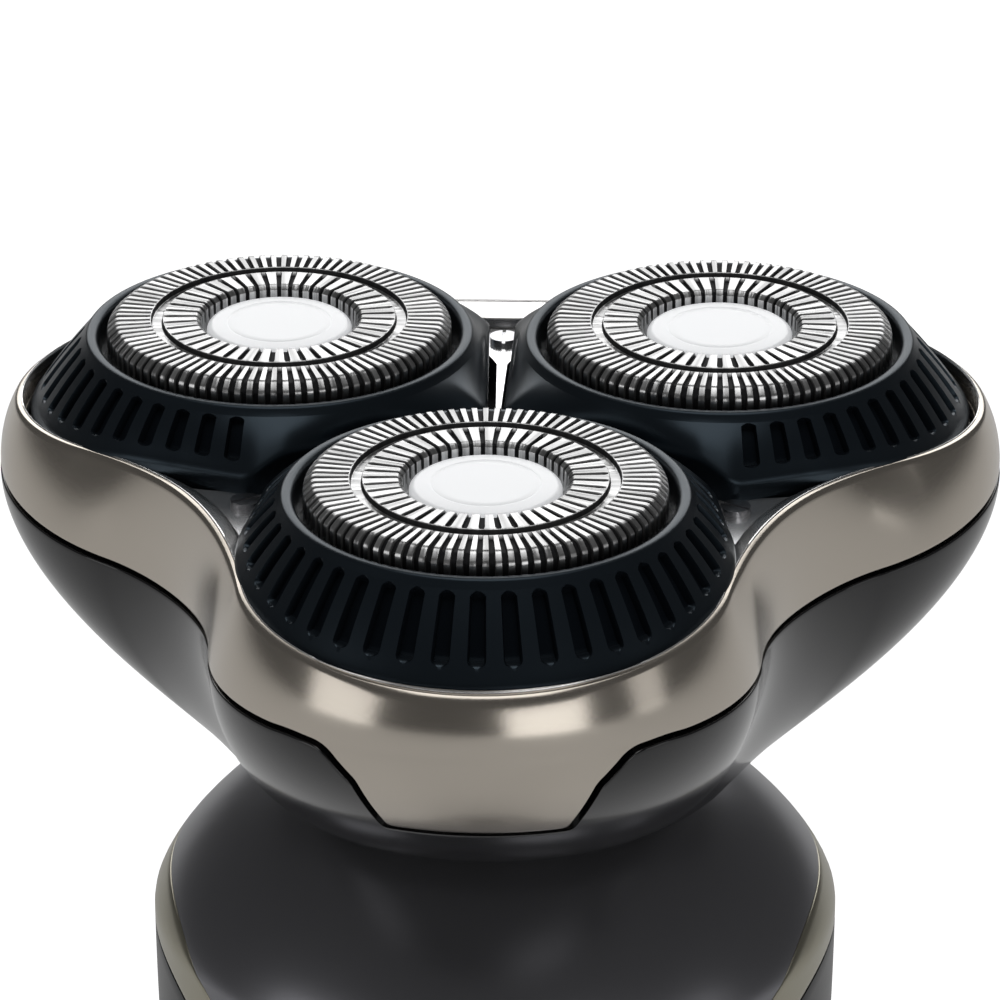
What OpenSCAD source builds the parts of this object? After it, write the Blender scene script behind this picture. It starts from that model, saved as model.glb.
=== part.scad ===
// Three-head rotary shaver standing on its base. Origin: centre of the flat base, +Z up, front at -Y.

/* [Overall] */
// Height of the cutting plane above the base
shaver_h = 158; // [156:0.5:162]
// Distance from the head's axis to each cutting ring's axis
ring_r = 17.33; // [17.2:0.01:17.5]

/* [Cutting rings] */
// Outer radius of a cutting ring's foil
foil_r = 11.75; // [11.7:0.01:11.8]
// Height of the foil cup
foil_h = 4.6; // [4.5:0.1:4.7]
// Radius of the white centre cap
cap_r = 4.94; // [4.5:0.01:5]
// Blades in one row of a cutter
blade_count = 12; // [9:1:15]

/* [Floating petals] */
// Height of the petals' rim below the cutting plane
petal_drop = 1; // [0.9:0.1:1.1]
// Radius of a petal's rim
petal_rim_r = 13.7; // [13.5:0.1:13.9]
// Radius of a petal's base circle
petal_base_r = 16.1; // [16:0.1:16.2]
// Distance from the head's axis to the centre of a petal's base circle
petal_base_c = 18.6; // [18.4:0.1:18.7]
// Half of the gap between two petals at the centre
petal_gap = 0.5; // [0.4:0.05:0.6]

/* [Head shell] */
// Radius of a lobe of the band's lower edge
band_a = 17.9; // [17.7:0.1:18]
// Distance from the axis to the lobes of the band's lower edge
band_e = 19.06; // [19:0.01:19.1]
// Radius of the inward curves between those lobes
band_f = 17.7; // [17:0.1:19]
// Thickness of the band's wall
band_t = 1.5; // [1.3:0.1:1.6]
// Thickness of the bowl's wall
bowl_t = 1.8; // [1.7:0.1:2]
// Radius of the bowl where it meets the neck
neck_r = 16.85; // [16.5:0.05:17]

/* [Handle] */
// Largest radius of the handle, at the shoulder
shoulder_r = 23.65; // [23.4:0.05:23.8]
// Radius of the handle at the grip
grip_r = 20.4; // [20:0.1:21]
// Thickness of the handle's walls
wall = 1.8; // [1.6:0.1:2]
// Height of the bottom cap
base_h = 9; // [8:0.5:10]

/* [Drive] */
// Teeth on the central gear
sun_teeth = 24; // [24:1:24]
// Teeth on each of the three outer gears
drive_teeth = 20; // [20:1:20]
// Radius of the motor's can
motor_r = 12; // [11:0.5:12]
// Radius of the battery cell
battery_r = 9.1; // [8:0.1:9.1]

/* [Hidden] */

$fn = 64;
skin_steps = 72;                  // points round a head ring, a multiple of six
head_angles = [270, 30, 150];     // direction of each cutting ring: front, right back, left back

// Heights of the head's lines, measured down from the cutting plane
rim_z = shaver_h - 6.39;          // band's upper edge at the lobes
// radius of a lobe, distance from the axis to its centre, radius of the curves between the lobes
rim_lobe = [15.98, 19.96, 35];
lip_lobe = [15.36, 20.21, 21];
rim_rise = 1.9;                   // how much higher that edge is at the waists
lip_z = shaver_h - 6.15;
lip_rise = 0.97;
band_z = shaver_h - 10.23;        // band's lower edge at the lobes
band_fall = 1.82;                 // how much lower that edge is at the waists
neck_z = shaver_h - 28.06;        // bottom of the bowl
petal_top_z = shaver_h - petal_drop;
petal_base_z = shaver_h - 7.6;
petal_edge_h = 1.4;               // height of a petal's upright outer edge
deck_z = petal_base_z - 1.5;      // top of the deck plate
deck_t = 1.2;
pivot_z = petal_base_z - 0.65;    // petals tilt about this height
seam = 0.35;                      // gap between the band and the bowl
tab_half = 19;                    // degrees to either side of the front kept for the tab's own columns
tab_drop = 7.1;                   // how far the finger tab reaches below the band
notch_r = 32.4;                   // back wall of the pocket that the tab swings out of
post_r = 14.2;                    // from the axis to the legs of the gear plate

bowl_floor = 1.5;
sun_floor_z = neck_z + 5;         // underside of the gear plate
gear_z = neck_z + 7.2;            // underside of the gears
gear_h = 2.8;
cover_z = gear_z + gear_h + 0.7;
cover_t = 1.2;

hinge_y = 28.1;
hinge_z = band_z - 2.15;
hinge_r = 1.9;
pin_r = 0.8;
fit = 0.06;                       // running clearance on a radius

// Shoulder curve of the handle
shoulder_top_r = 10.39;
shoulder_drop = 11.32;
shoulder_k = 1.36;
shoulder_z = neck_z - shoulder_drop;
handle_top_r = 14.2;

button_z = 80;
button_r = 6;
window_z = [48, 68];
window_w = 7.5;
panel_lines = [17.6, 13, 2.8];    // half depth, height and squareness of the trim's upper line
trim_lines = [15.4, 9.4, 2.8];    // the same for its lower line
line_z = shaver_h - 50;           // where the trim's lines turn straight down
line_lean = 4;                    // how far those lines lean back on their way down

motor_top = neck_z - 7.7;
motor_len = 30;
battery_y = 5.2;
gear_m = 2 * ring_r / (sun_teeth + drive_teeth);  // pitch diameter per tooth

// Curves

// Turns an angle round the head into the angle from the nearest lobe, 0 to 60
function from_lobe(th) = abs(((th + 30) % 120 + 120) % 120 - 60);

// 0 at the lobes and 1 at the waists between them
function wave(th) = (1 - cos(3 * (th - 30))) / 2;

// Radius of an outline of three lobes (radius a, at e from the axis) joined by inward arcs of radius f
function lobe_r(th, a, e, f) =
    let (ph = from_lobe(th),
         far = e * cos(60) + sqrt(pow(a + f, 2) - pow(e * sin(60), 2)),
         k = a / (a + f),
         join = atan2(k * far * sin(60), e + k * (far * cos(60) - e)))
    ph < join ? e * cos(ph) + sqrt(a * a - pow(e * sin(ph), 2))
              : far * cos(60 - ph) - sqrt(f * f - pow(far * sin(60 - ph), 2));

function rim_r(th) = lobe_r(th, rim_lobe[0], rim_lobe[1], rim_lobe[2]);
function lip_r(th) = lobe_r(th, lip_lobe[0], lip_lobe[1], lip_lobe[2]);
function opening_r(th) = min(lip_r(th), rim_r(th) - 0.6);
function band_r(th) = lobe_r(th, band_a, band_e, band_f);
function rim_h(th) = rim_z + rim_rise * wave(th);
function lip_h(th) = lip_z + lip_rise * wave(th);
function band_h(th) = band_z - band_fall * wave(th);
function deck_r(th) = lip_r(th) - 1.3 + wave(th);

// Bowl: share of the way from the neck to the band that its radius has gone; u is 0 at the band, 1 at the neck
function bowl_part(u) = (1 - pow(u, 1.58)) * (1 + 0.2 * u);
function bowl_r(th, u) = neck_r + (band_r(th) - neck_r) * bowl_part(u);

// Radius of the bowl's surface at a height, the band's own radius above the bowl
function skin_r(th, z) = bowl_r(th, max(0, (band_h(th) - z) / (band_h(th) - neck_z)));

function smooth(x) = let (c = min(1, max(0, x))) c * c * (3 - 2 * c);

// Handle: radius below the shoulder, with a rounded lower edge
function grip(z) = grip_r + (shoulder_r - grip_r) * smooth((z - 45) / (shoulder_z - 45))
    - (z < 5 ? 2.4 * (1 - sqrt(1 - pow((5 - z) / 5, 2))) : 0);
function depth_k(z) = 1 - 0.06 * smooth((110 - z) / 70);

// How far the handle's front stands from the axis at a height
function face(z) = grip(z) * depth_k(z);

// [radius, height] of the shoulder at t, 90 at its widest and towards 0 at the neck
function shoulder(t) = [shoulder_top_r + (shoulder_r - shoulder_top_r) * pow(sin(t), 2 / shoulder_k),
    shoulder_z + shoulder_drop * pow(cos(t), 2 / shoulder_k)];

// Trim lines seen from the side, from the back down to the front: y and z of a point at s, 0 to 90
function trim_point(l, s) = [-l[0] * pow(sin(s), 2 / l[2]), line_z + l[1] * pow(cos(s), 2 / l[2])];

function polar(r, th, z) = [r * cos(th), r * sin(th), z];

// Meshes from rings of points

// Solid skinned over rings listed from the top down, each anticlockwise seen from above
module ring_solid(rings) {
    n = len(rings[0]);
    m = len(rings);
    polyhedron(points = [for (r = rings) each r],
        faces = concat([[for (i = [n - 1:-1:0]) i]], [[for (i = [0:n - 1]) (m - 1) * n + i]],
            [for (j = [0:m - 2], i = [0:n - 1]) let (k = (i + 1) % n)
                each [[j * n + i, j * n + k, (j + 1) * n + k],
                    [j * n + i, (j + 1) * n + k, (j + 1) * n + i]]]),
        convexity = 6);
}

// Closed hoop skinned over rings that go round its section: outside from the top down, then inside going up
module ring_hoop(rings) {
    n = len(rings[0]);
    m = len(rings);
    polyhedron(points = [for (r = rings) each r],
        faces = [for (j = [0:m - 1], i = [0:n - 1]) let (k = (i + 1) % n, l = (j + 1) % m)
            each [[j * n + i, j * n + k, l * n + k], [j * n + i, l * n + k, l * n + i]]],
        convexity = 8);
}

// Flat outline from a radius in each direction
module ring_outline(r) {
    polygon([for (th = angles(skin_steps)) r(th) * [cos(th), sin(th)]]);
}

function angles(n) = [for (i = [0:n - 1]) 360 * i / n];

// Head shell

// Edge of the finger tab from its root to its middle: degrees from the front and depth below the band's edge
tab_edge = [[16.6, 0.15], [15, 0.9], [13.2, 2.3], [12, 3.7], [10.9, 5.3], [10, 6.7],
    [9.2, tab_drop], [4.6, tab_drop], [0, tab_drop]];

// The same edge from left to right; g widens it and lowers it, as the pocket in the bowl needs
function tab_columns(g) = concat([for (p = tab_edge) [270 - p[0] - 1.7 * g, p[1] + g]],
    [for (i = [len(tab_edge) - 2:-1:0]) let (p = tab_edge[i]) [270 + p[0] + 1.7 * g, p[1] + g]]);

// Columns of the head's rings, [direction, how far the edge there reaches below the band's]
function columns(g) = concat([for (th = angles(skin_steps)) if (th < 270 - tab_half) [th, 0]], tab_columns(g),
    [for (th = angles(skin_steps)) if (th > 270 + tab_half) [th, 0]]);

module hinge_barrel(x0, x1, r) {
    translate([x0, hinge_y, hinge_z]) rotate([0, 90, 0]) cylinder(h = x1 - x0, r = r);
}

module head_bowl() {
    color([0.09, 0.09, 0.1]) difference() {
        ring_hoop(concat(
            [for (w = [0, 0.3, 0.6, 1]) pocket_ring(w, 0, notch_r)],
            [for (w = [0, 0.16, 0.34, 0.52, 0.7, 0.86, 1]) below_pocket_ring(w)],
            [flat_ring(9, neck_z), flat_ring(9, neck_z + bowl_floor), flat_ring(15.9, neck_z + bowl_floor)],
            [for (w = [0.8, 0.55, 0.3]) inner_ring(w)],
            [for (w = [1, 0.5, 0]) pocket_ring(w, bowl_t, notch_r - 1.4)]));
        translate([0, 0, neck_z - 1]) cylinder(h = 10, r = 12.1);
        for (a = head_angles) rotate(a + 60) translate([post_r, 0, neck_z + 0.4]) cylinder(h = 4, r = 0.6);
    }
}

// Two fixed knuckles of the hinge, on bars that are set into the bowl's wall
module hinge_block() {
    color([0.09, 0.09, 0.1]) difference() {
        for (x = [-7, 4.2]) union() {
            hinge_barrel(x, x + 2.8, hinge_r);
            translate([x, 22, hinge_z - hinge_r]) cube([2.8, hinge_y - 22, 1.8]);
        }
        hinge_barrel(-8, 8, pin_r);
    }
}

// Rings of the bowl from its upper edge, w = 0, to the pocket's floor, w = 1: t inside its surface, and no
// further out than r behind the tab
function pocket_ring(w, t, r) = [for (c = columns(seam))
    let (z = band_h(c[0]) - seam - w * (tab_drop - seam), s = skin_r(c[0], z) - t)
        polar(c[1] > 0 && (band_z - z < c[1]) ? min(s, r) : s, c[0], z)];
function below_pocket_ring(w) = [for (c = columns(seam))
    let (top = band_h(c[0]) - tab_drop - 0.4, z = top - w * (top - neck_z))
        polar(skin_r(c[0], z), c[0], z)];
function inner_ring(w) = [for (c = columns(seam))
    let (z = band_h(c[0]) - tab_drop - w * (band_h(c[0]) - tab_drop - neck_z))
        polar(skin_r(c[0], z) - bowl_t, c[0], z)];
function flat_ring(r, z) = [for (c = columns(seam)) polar(r, c[0], z)];

// Flat plate that fits inside the bowl at a height, no further out than r
module inner_slab(z0, h, r) {
    translate([0, 0, z0]) linear_extrude(h)
        ring_outline(function (th) min(r, skin_r(th, z0) - bowl_t - 0.25));
}

// Plate that the gears turn on, with three legs that stand on the bowl's floor
module gear_plate() {
    color([0.3, 0.31, 0.33]) difference() {
        union() {
            inner_slab(sun_floor_z, 1.6, notch_r);
            for (a = head_angles) rotate(a + 60) translate([post_r, 0, neck_z + bowl_floor])
                cylinder(h = sun_floor_z - neck_z - bowl_floor + 0.5, r = 1.6);
        }
        translate([0, 0, sun_floor_z - 1]) cylinder(h = 4, r = 5.6 + fit);
        for (a = head_angles) {
            rotate(a) translate([ring_r, 0, sun_floor_z - 1]) cylinder(h = 4, r = 1.5 + fit);
            rotate(a + 60) translate([post_r, 0, neck_z]) cylinder(h = 10, r = 0.7);
        }
    }
}

module gear_cover() {
    color([0.16, 0.16, 0.17]) difference() {
        union() {
            inner_slab(cover_z, cover_t, notch_r - 1.7);
            for (a = head_angles) rotate(a) translate([ring_r, 0, cover_z]) cylinder(h = 3, r = 4.6);
        }
        for (a = head_angles) rotate(a) translate([ring_r, 0, cover_z - 1])
            cylinder(h = 6, r = 3 + fit);
    }
}

module post_seals() {
    color([0.05, 0.05, 0.05]) for (a = head_angles) rotate(a) translate([ring_r, 0, cover_z + 3])
        rotate_extrude() polygon([[3.2, 0], [4.5, 0], [4.5, 0.5], [3.3, 1]]);
}

module plate_screws() {
    color([0.7, 0.7, 0.72]) for (a = head_angles) rotate(a + 60) translate([post_r, 0, neck_z + 0.4])
        union() {
            cylinder(h = 6.4, r = 0.6);
            translate([0, 0, 6.2]) difference() {
                cylinder(h = 0.6, r = 1.3);
                translate([-1, -0.15, 0.35]) cube([2, 0.3, 1]);
            }
        }
}

module latch_catch() {
    color([0.72, 0.72, 0.74]) translate([-4, -30.2, cover_z + cover_t]) difference() {
        cube([8, 1.4, 3.6]);
        translate([1.5, -1, 1.2]) cube([5, 4, 1.2]);
    }
}

module hinge_pin() {
    color([0.75, 0.75, 0.77]) hinge_barrel(-7, 7, pin_r);
}

// Head frame that flips open

module head_band() {
    color([0.66, 0.62, 0.56]) union() {
        ring_hoop(concat(
            [band_ring(function (th) rim_r(th), function (th) rim_h(th)),
                band_ring(function (th) 0.55 * rim_r(th) + 0.45 * band_r(th) + 0.35,
                    function (th) 0.55 * rim_h(th) + 0.45 * band_h(th))],
            [for (w = [0:3]) band_foot(w / 3, 0)],
            [for (w = [3:-1:0]) band_foot(w / 3, 1)],
            [band_ring(function (th) opening_r(th), function (th) rim_h(th) - 1.5),
                band_ring(function (th) rim_r(th) - 0.2, function (th) rim_h(th) - 1.5),
                band_ring(function (th) rim_r(th) - 0.15, function (th) rim_h(th))]));
        difference() {
            union() {
                hinge_barrel(-3.9, 3.9, hinge_r);
                translate([-3.9, band_r(90) - 1, hinge_z + 0.4])
                    cube([7.8, hinge_y - band_r(90) + 1, hinge_r - 0.4]);
            }
            hinge_barrel(-5, 5, pin_r + fit);
        }
    }
}

function band_ring(r, z) = [for (c = columns(0)) polar(r(c[0]), c[0], z(c[0]))];

// Rings of the band's lower part, w from 0 just above its edge to 1 at the edge, on the outside or inside = 1
function band_foot(w, inside) = [for (c = columns(0))
    let (z = band_h(c[0]) + 0.4 * (1 - w) - c[1] * w, t = band_t - 0.8 * min(1, w * c[1] / 1.2))
        polar(skin_r(c[0], z) - 0.03 - inside * t, c[0], z)];

module band_lip() {
    color([0.85, 0.85, 0.86]) ring_hoop([
        band_ring(function (th) rim_r(th) - 0.2, function (th) rim_h(th)),
        band_ring(function (th) rim_r(th) - 0.25, function (th) rim_h(th) - 1.45),
        band_ring(function (th) opening_r(th), function (th) max(lip_h(th) - 1.3, rim_h(th) - 1.4)),
        band_ring(function (th) opening_r(th), function (th) lip_h(th))]);
}

// Plan of one petal's base, grown by g
module petal_plan(g) {
    intersection() {
        translate([petal_base_c, 0]) circle(r = petal_base_r + g);
        petal_sector(g);
    }
}

// Sector between two petals' side planes, which open outwards by a little more than the gap
module petal_sector(g) {
    half = 58.6;
    apex = (petal_gap - g) / sin(half);
    polygon([[apex, 0], [apex + 50 * cos(half), -50 * sin(half)], [apex + 50, -50 * sin(half)],
        [apex + 50, 50 * sin(half)], [apex + 50 * cos(half), 50 * sin(half)]]);
}

module head_deck() {
    color([0.86, 0.86, 0.87]) difference() {
        union() {
            translate([0, 0, deck_z - deck_t]) linear_extrude(deck_t)
                ring_outline(function (th) deck_r(th));
            translate([0, 0, deck_z - 0.2]) linear_extrude(3.4) difference() {
                ring_outline(function (th) deck_r(th));
                for (a = head_angles) rotate(a) petal_plan(0.5);
            }
            for (a = head_angles, s = [-1, 1]) rotate(a)
                translate([ring_r - 1.1, s * 13 - 0.6, deck_z - 0.2]) cube([2.2, 1.2, 1.6]);
        }
        for (a = head_angles) {
            rotate(a) translate([ring_r, 0, deck_z - 2]) cylinder(h = 1.9 + deck_t, r = 11.8);
            rotate(a) translate([ring_r, 0, pivot_z]) rotate([90, 0, 0])
                cylinder(h = 28, r = 0.5 + fit, center = true);
            rotate(a + 60) translate([18.6, 0, deck_z + 0.2]) cylinder(h = 4, r = 0.6);
        }
    }
}

module deck_screws() {
    color([0.4, 0.4, 0.42]) for (a = head_angles) rotate(a + 60)
        translate([18.6, 0, deck_z + 0.25]) difference() {
            union() {
                cylinder(h = 3, r = 0.6);
                translate([0, 0, 2.96]) cylinder(h = 0.4, r = 1);
            }
            translate([-1.2, -0.12, 3.2]) cube([2.4, 0.24, 1]);
        }
}

// One cutting head, built along +X

module petal() {
    color([0.05, 0.07, 0.09]) difference() {
        union() {
            intersection() {
                hull() {
                    translate([petal_base_c, 0, petal_base_z]) cylinder(h = petal_edge_h, r = petal_base_r);
                    translate([ring_r, 0, petal_top_z - 0.8]) cylinder(h = 0.4, r = petal_rim_r);
                    translate([ring_r, 0, petal_top_z - 0.1]) cylinder(h = 0.1, r = 13);
                }
                linear_extrude(shaver_h) petal_sector(0);
                linear_extrude(shaver_h) rotate(-30) ring_outline(function (th) opening_r(th) - 0.55);
            }
            for (s = [-1, 1]) {
                translate([ring_r - 1, s * 14.5 - 0.6, pivot_z - 0.5]) cube([2, 1.2, 1.3]);
                translate([ring_r, s * 14.2, pivot_z]) rotate([s * 90, 0, 0]) cylinder(h = 1.9, r = 0.5);
            }
        }
        translate([ring_r, 0, petal_base_z - 0.2]) cylinder(h = 4, r = 13);
        translate([ring_r, 0, petal_base_z]) cylinder(h = 9, r = 12.35);
    }
}

module retainer() {
    color([0.2, 0.21, 0.23]) translate([ring_r, 0, petal_base_z + 0.55]) difference() {
        union() {
            difference() {
                cylinder(h = 0.6, r = 12.98);
                translate([0, 0, -1]) cylinder(h = 3, r = 11.6);
            }
            cylinder(h = 0.6, r = 6.4);
            for (k = [0:2]) rotate(120 * k + 60) translate([5, -0.8, 0]) cube([7, 1.6, 0.6]);
        }
        translate([0, 0, -1]) cylinder(h = 3, r = 4.9);
    }
}

// Steel cup: a ridged top with one groove, an outer wall with a foot flange, and a sunk middle
module foil() {
    color([0.75, 0.75, 0.77]) translate([ring_r, 0, shaver_h]) rotate_extrude()
        polygon([[0, -2], [5.3, -2], [5.3, -0.35], [5.65, 0], [7.95, 0], [7.95, -0.35], [8.72, -0.35],
            [8.72, 0], [11.1, 0], [foil_r, -0.65], [foil_r, 0.8 - foil_h], [12.75, 0.8 - foil_h],
            [12.75, -foil_h], [11.25, -foil_h], [11.25, -0.55], [5.75, -0.55], [5.75, -2.5], [0, -2.5]]);
}

module foil_cap() {
    color([0.95, 0.96, 0.97]) translate([ring_r, 0, shaver_h]) rotate_extrude()
        polygon([[0, -1.98], [4.3, -1.98], [cap_r, -1.5], [cap_r, -0.75], [4.6, -0.5], [0, -0.38]]);
}

// Blade ring: a flat ring with two rows of upright blades
module cutter() {
    color([0.8, 0.8, 0.82]) translate([ring_r, 0, shaver_h - 3.8]) {
        difference() {
            cylinder(h = 0.7, r = 11.1);
            translate([0, 0, -1]) cylinder(h = 3, r = 6);
        }
        for (k = [0:blade_count - 1]) rotate(360 * k / blade_count) {
            translate([9, -0.35, 0.2]) cube([2, 0.7, 2.9]);
            translate([6.1, -0.35, 0.2]) cube([1.5, 0.7, 2.9]);
        }
    }
}

module cutter_carrier() {
    color([0.85, 0.83, 0.75]) translate([ring_r, 0, 0]) difference() {
        union() {
            translate([0, 0, shaver_h - 5.1]) cylinder(h = 1.3, r = 8);
            translate([0, 0, shaver_h - 6.2]) cylinder(h = 3.5, r = 4.2);
        }
        translate([0, 0, shaver_h - 7]) cylinder(h = 3.9, r = 3.05, $fn = 6);
    }
}

// Gears

// Spur gear outline: each tooth tapers from its root to its tip, with room for the mating tooth
module gear_outline(teeth, start) {
    r = gear_m * teeth / 2;
    step = 360 / teeth;
    polygon([for (k = [0:teeth - 1], c = [[-0.29, -1.15], [-0.19, 0], [-0.08, 0.8],
        [0.08, 0.8], [0.19, 0], [0.29, -1.15]])
        let (a = start + step * (k + c[0])) [(r + c[1] * gear_m) * cos(a), (r + c[1] * gear_m) * sin(a)]]);
}

module central_gear() {
    color([0.9, 0.9, 0.88]) difference() {
        union() {
            translate([0, 0, gear_z]) linear_extrude(gear_h) gear_outline(sun_teeth, 30);
            translate([0, 0, neck_z + 4]) cylinder(h = gear_z - neck_z - 3.8, r = 5.6);
        }
        translate([0, 0, neck_z + 3]) cylinder(h = gear_z - neck_z - 1, r = 4, $fn = 6);
    }
}

// Gear with its journal, sleeve and six-sided drive tip, along +X. A gap of the gear faces the central one.
module drive_gear() {
    color([0.88, 0.88, 0.86]) translate([ring_r, 0, 0]) union() {
        translate([0, 0, gear_z]) linear_extrude(gear_h) gear_outline(drive_teeth, 180 / drive_teeth);
        translate([0, 0, sun_floor_z - 0.4]) cylinder(h = 3, r = 1.5);
        translate([0, 0, gear_z + 1]) cylinder(h = petal_base_z - gear_z - 1.2, r = 3);
        translate([0, 0, petal_base_z - 0.4]) cylinder(h = 1.5, r = 1.6);
        translate([0, 0, petal_base_z + 1]) cylinder(h = 1.8, r = 2.4, $fn = 6);
    }
}

// Handle

// Handle's surface moved inwards by t, from its foot up to the neck opening
module handle_skin(t, foot) {
    n = 60;
    rings = concat([for (s = [21, 30, 40, 52, 64, 78]) shoulder(s)],
        [for (z = [shoulder_z, 112, 102, 92, 80, 68, 56, 44, 30, 16, 5, 3, 1.2, 0.3, 0])
            if (z > foot) [grip(z), z]], [[grip(max(foot, 0)), foot]]);
    ring_solid([for (p = rings) [for (a = angles(n))
        [(p[0] - t) * cos(a), (p[0] * depth_k(p[1]) - t) * sin(a), p[1]]]]);
}

module handle_shell() {
    difference() {
        handle_skin(0, 0);
        handle_skin(wall, -1);
        translate([0, 0, neck_z - 6]) cylinder(h = 12, r = handle_top_r);
    }
}

// Solid that covers everything in front of and above a trim line, seen from the side
module ahead_of(l) {
    rotate([90, 0, 90]) linear_extrude(80, center = true)
        polygon(concat([[50, 200], [50, line_z + l[1]]], [for (s = [0:6:90]) trim_point(l, s)],
            [[line_lean - l[0], -5], [-50, -5], [-50, 200]]));
}

module panel_window(g) {
    rotate([90, 0, 0]) linear_extrude(40)
        hull() for (x = [-1, 1], z = window_z) translate([x * (window_w - 3), z])
            circle(r = 3 + g, $fn = 32);
}

module above_base() {
    translate([-40, -40, base_h]) cube([80, 80, 160]);
}

module front_panel() {
    color([0.2, 0.2, 0.22]) difference() {
        intersection() {
            handle_shell();
            ahead_of(panel_lines);
            above_base();
        }
        translate([0, 0, button_z]) rotate([90, 0, 0]) cylinder(h = 40, r = 7.7);
        panel_window(0.1);
    }
}

module trim_frame() {
    color([0.53, 0.52, 0.45]) difference() {
        intersection() {
            handle_shell();
            ahead_of(trim_lines);
            above_base();
        }
        ahead_of(panel_lines);
    }
}

module rear_shell() {
    color([0.07, 0.07, 0.08]) difference() {
        intersection() {
            handle_shell();
            above_base();
        }
        ahead_of(trim_lines);
    }
}

module base_cap() {
    color([0.08, 0.08, 0.09]) difference() {
        intersection() {
            handle_skin(0, 0);
            translate([-40, -40, -1]) cube([80, 80, base_h + 1 - 0.1]);
        }
        translate([0, 0, 2.4]) cylinder(h = 20, r = grip_r * depth_k(0) - wall - 0.6);
        for (s = [-1, 1]) translate([13 * s, 0, -1]) {
            cylinder(h = 6, r = 1.1);
            cylinder(h = 2, r = 2.2);
        }
        translate([0, 9, -1]) linear_extrude(6) socket_outline(0.06);
    }
}

module socket_outline(g) {
    hull() for (x = [-3.2, 3.2]) translate([x, 0]) circle(r = 1.85 + g, $fn = 32);
}

module charge_socket() {
    color([0.75, 0.75, 0.77]) translate([0, 9, 0.5]) difference() {
        linear_extrude(7.2) socket_outline(0);
        translate([0, 0, -1]) linear_extrude(7.4) socket_outline(-0.3);
    }
}

module socket_tongue() {
    color([0.1, 0.1, 0.1]) translate([-2.6, 8.65, 1.4]) cube([5.2, 0.7, 5]);
}

// Screws of the base cap and of the motor
module handle_screws() {
    color([0.7, 0.7, 0.72]) union() {
        base_screws();
        motor_screws();
    }
}

module base_screws() {
    for (s = [-1, 1]) translate([13 * s, 0, 0.3]) difference() {
        union() {
            cylinder(h = 0.7, r = 2);
            cylinder(h = 7, r = 1);
        }
        for (k = [0, 90]) rotate(k) translate([-1.2, -0.2, -1]) cube([2.4, 0.4, 1.5]);
    }
}

module neck_collar() {
    color([0.04, 0.04, 0.045]) translate([0, 0, neck_z - 6.1]) difference() {
        union() {
            cylinder(h = 5.8, r = handle_top_r - 0.1);
            cylinder(h = 8.6, r = 12);
        }
        translate([0, 0, -1]) cylinder(h = 12, r = 9);
    }
}

module neck_seal() {
    color([0.03, 0.03, 0.03]) translate([0, 0, neck_z - 4]) difference() {
        cylinder(h = 1, r = 9);
        translate([0, 0, -1]) cylinder(h = 3, r = 4.2);
    }
}

module motor_plate() {
    color([0.6, 0.61, 0.63]) translate([0, 0, neck_z - 7.7]) difference() {
        cylinder(h = 1.6, r = 17);
        translate([0, 0, -1]) cylinder(h = 4, r = 4.5);
        for (s = [-1, 1]) translate([8 * s, 0, -1]) cylinder(h = 4, r = 1.1);
    }
}

module motor_can() {
    color([0.7, 0.7, 0.72]) translate([0, 0, motor_top - motor_len]) difference() {
        cylinder(h = motor_len, r = motor_r);
        translate([0, 0, -1]) cylinder(h = motor_len - 0.2, r = motor_r - 0.8);
        cylinder(h = 50, r = 1 + fit);
        for (s = [-1, 1]) translate([8 * s, 0, motor_len - 2]) cylinder(h = 4, r = 0.9);
    }
}

module motor_end_cap() {
    color([0.12, 0.12, 0.12]) translate([0, 0, motor_top - motor_len]) difference() {
        cylinder(h = 2, r = motor_r - 0.82);
        translate([0, 0, -1]) cylinder(h = 4, r = 1 + fit);
    }
}

module motor_screws() {
    for (s = [-1, 1]) translate([8 * s, 0, motor_top - 1]) union() {
        cylinder(h = 3, r = 0.9);
        translate([0, 0, 2.6]) cylinder(h = 0.9, r = 0.95);
    }
}

module motor_armature() {
    color([0.7, 0.45, 0.2]) translate([0, 0, motor_top - motor_len + 4]) difference() {
        cylinder(h = 22, r = 10.2);
        for (k = [0:4]) rotate(72 * k) translate([7.5, -1, -1]) cube([4, 2, 24]);
        translate([0, 0, -1]) cylinder(h = 24, r = 1);
    }
}

module motor_shaft() {
    color([0.8, 0.8, 0.82]) translate([0, 0, motor_top - motor_len - 1.5])
        cylinder(h = motor_len + 14, r = 1);
}

module drive_coupler() {
    color([0.85, 0.85, 0.8]) translate([0, 0, neck_z - 2.4]) difference() {
        union() {
            cylinder(h = 1.4, r = 5.4);
            cylinder(h = 10.4, r = 3.3, $fn = 6);
        }
        translate([0, 0, -1]) cylinder(h = 8.2, r = 1);
    }
}

module battery_cell() {
    color([0.25, 0.45, 0.7]) translate([0, battery_y, 14]) union() {
        cylinder(h = 64, r = battery_r);
        cylinder(h = 65.2, r = 2.8);
    }
}

module battery_contacts() {
    color([0.8, 0.75, 0.6]) union() {
        translate([-3, battery_y - 4, 13.5]) cube([6, 8, 0.5]);
        translate([-3, battery_y - 4, 79.2]) cube([6, 8, 0.5]);
    }
}

module chassis() {
    color([0.35, 0.36, 0.38]) union() {
        translate([0, battery_y, 11.5]) linear_extrude(70) back_half(battery_r + 0.1, battery_r + 1.3);
        translate([0, 0, 83]) linear_extrude(38) back_half(motor_r + 0.1, motor_r + 1.3);
        translate([0, battery_y, 10.5]) linear_extrude(1.5) back_half(0, battery_r + 1.3);
        translate([0, 0, 81]) linear_extrude(2) back_half(0, motor_r + 1.3);
        for (s = [-1, 1]) translate([s * (battery_r + 0.7) - 0.6, -7.2, 10.5])
            cube([1.2, battery_y + 7.3, 71]);
    }
}

module back_half(r0, r1) {
    difference() {
        circle(r = r1);
        if (r0 > 0) circle(r = r0);
        translate([-30, -60]) square([60, 60]);
    }
}

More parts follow.
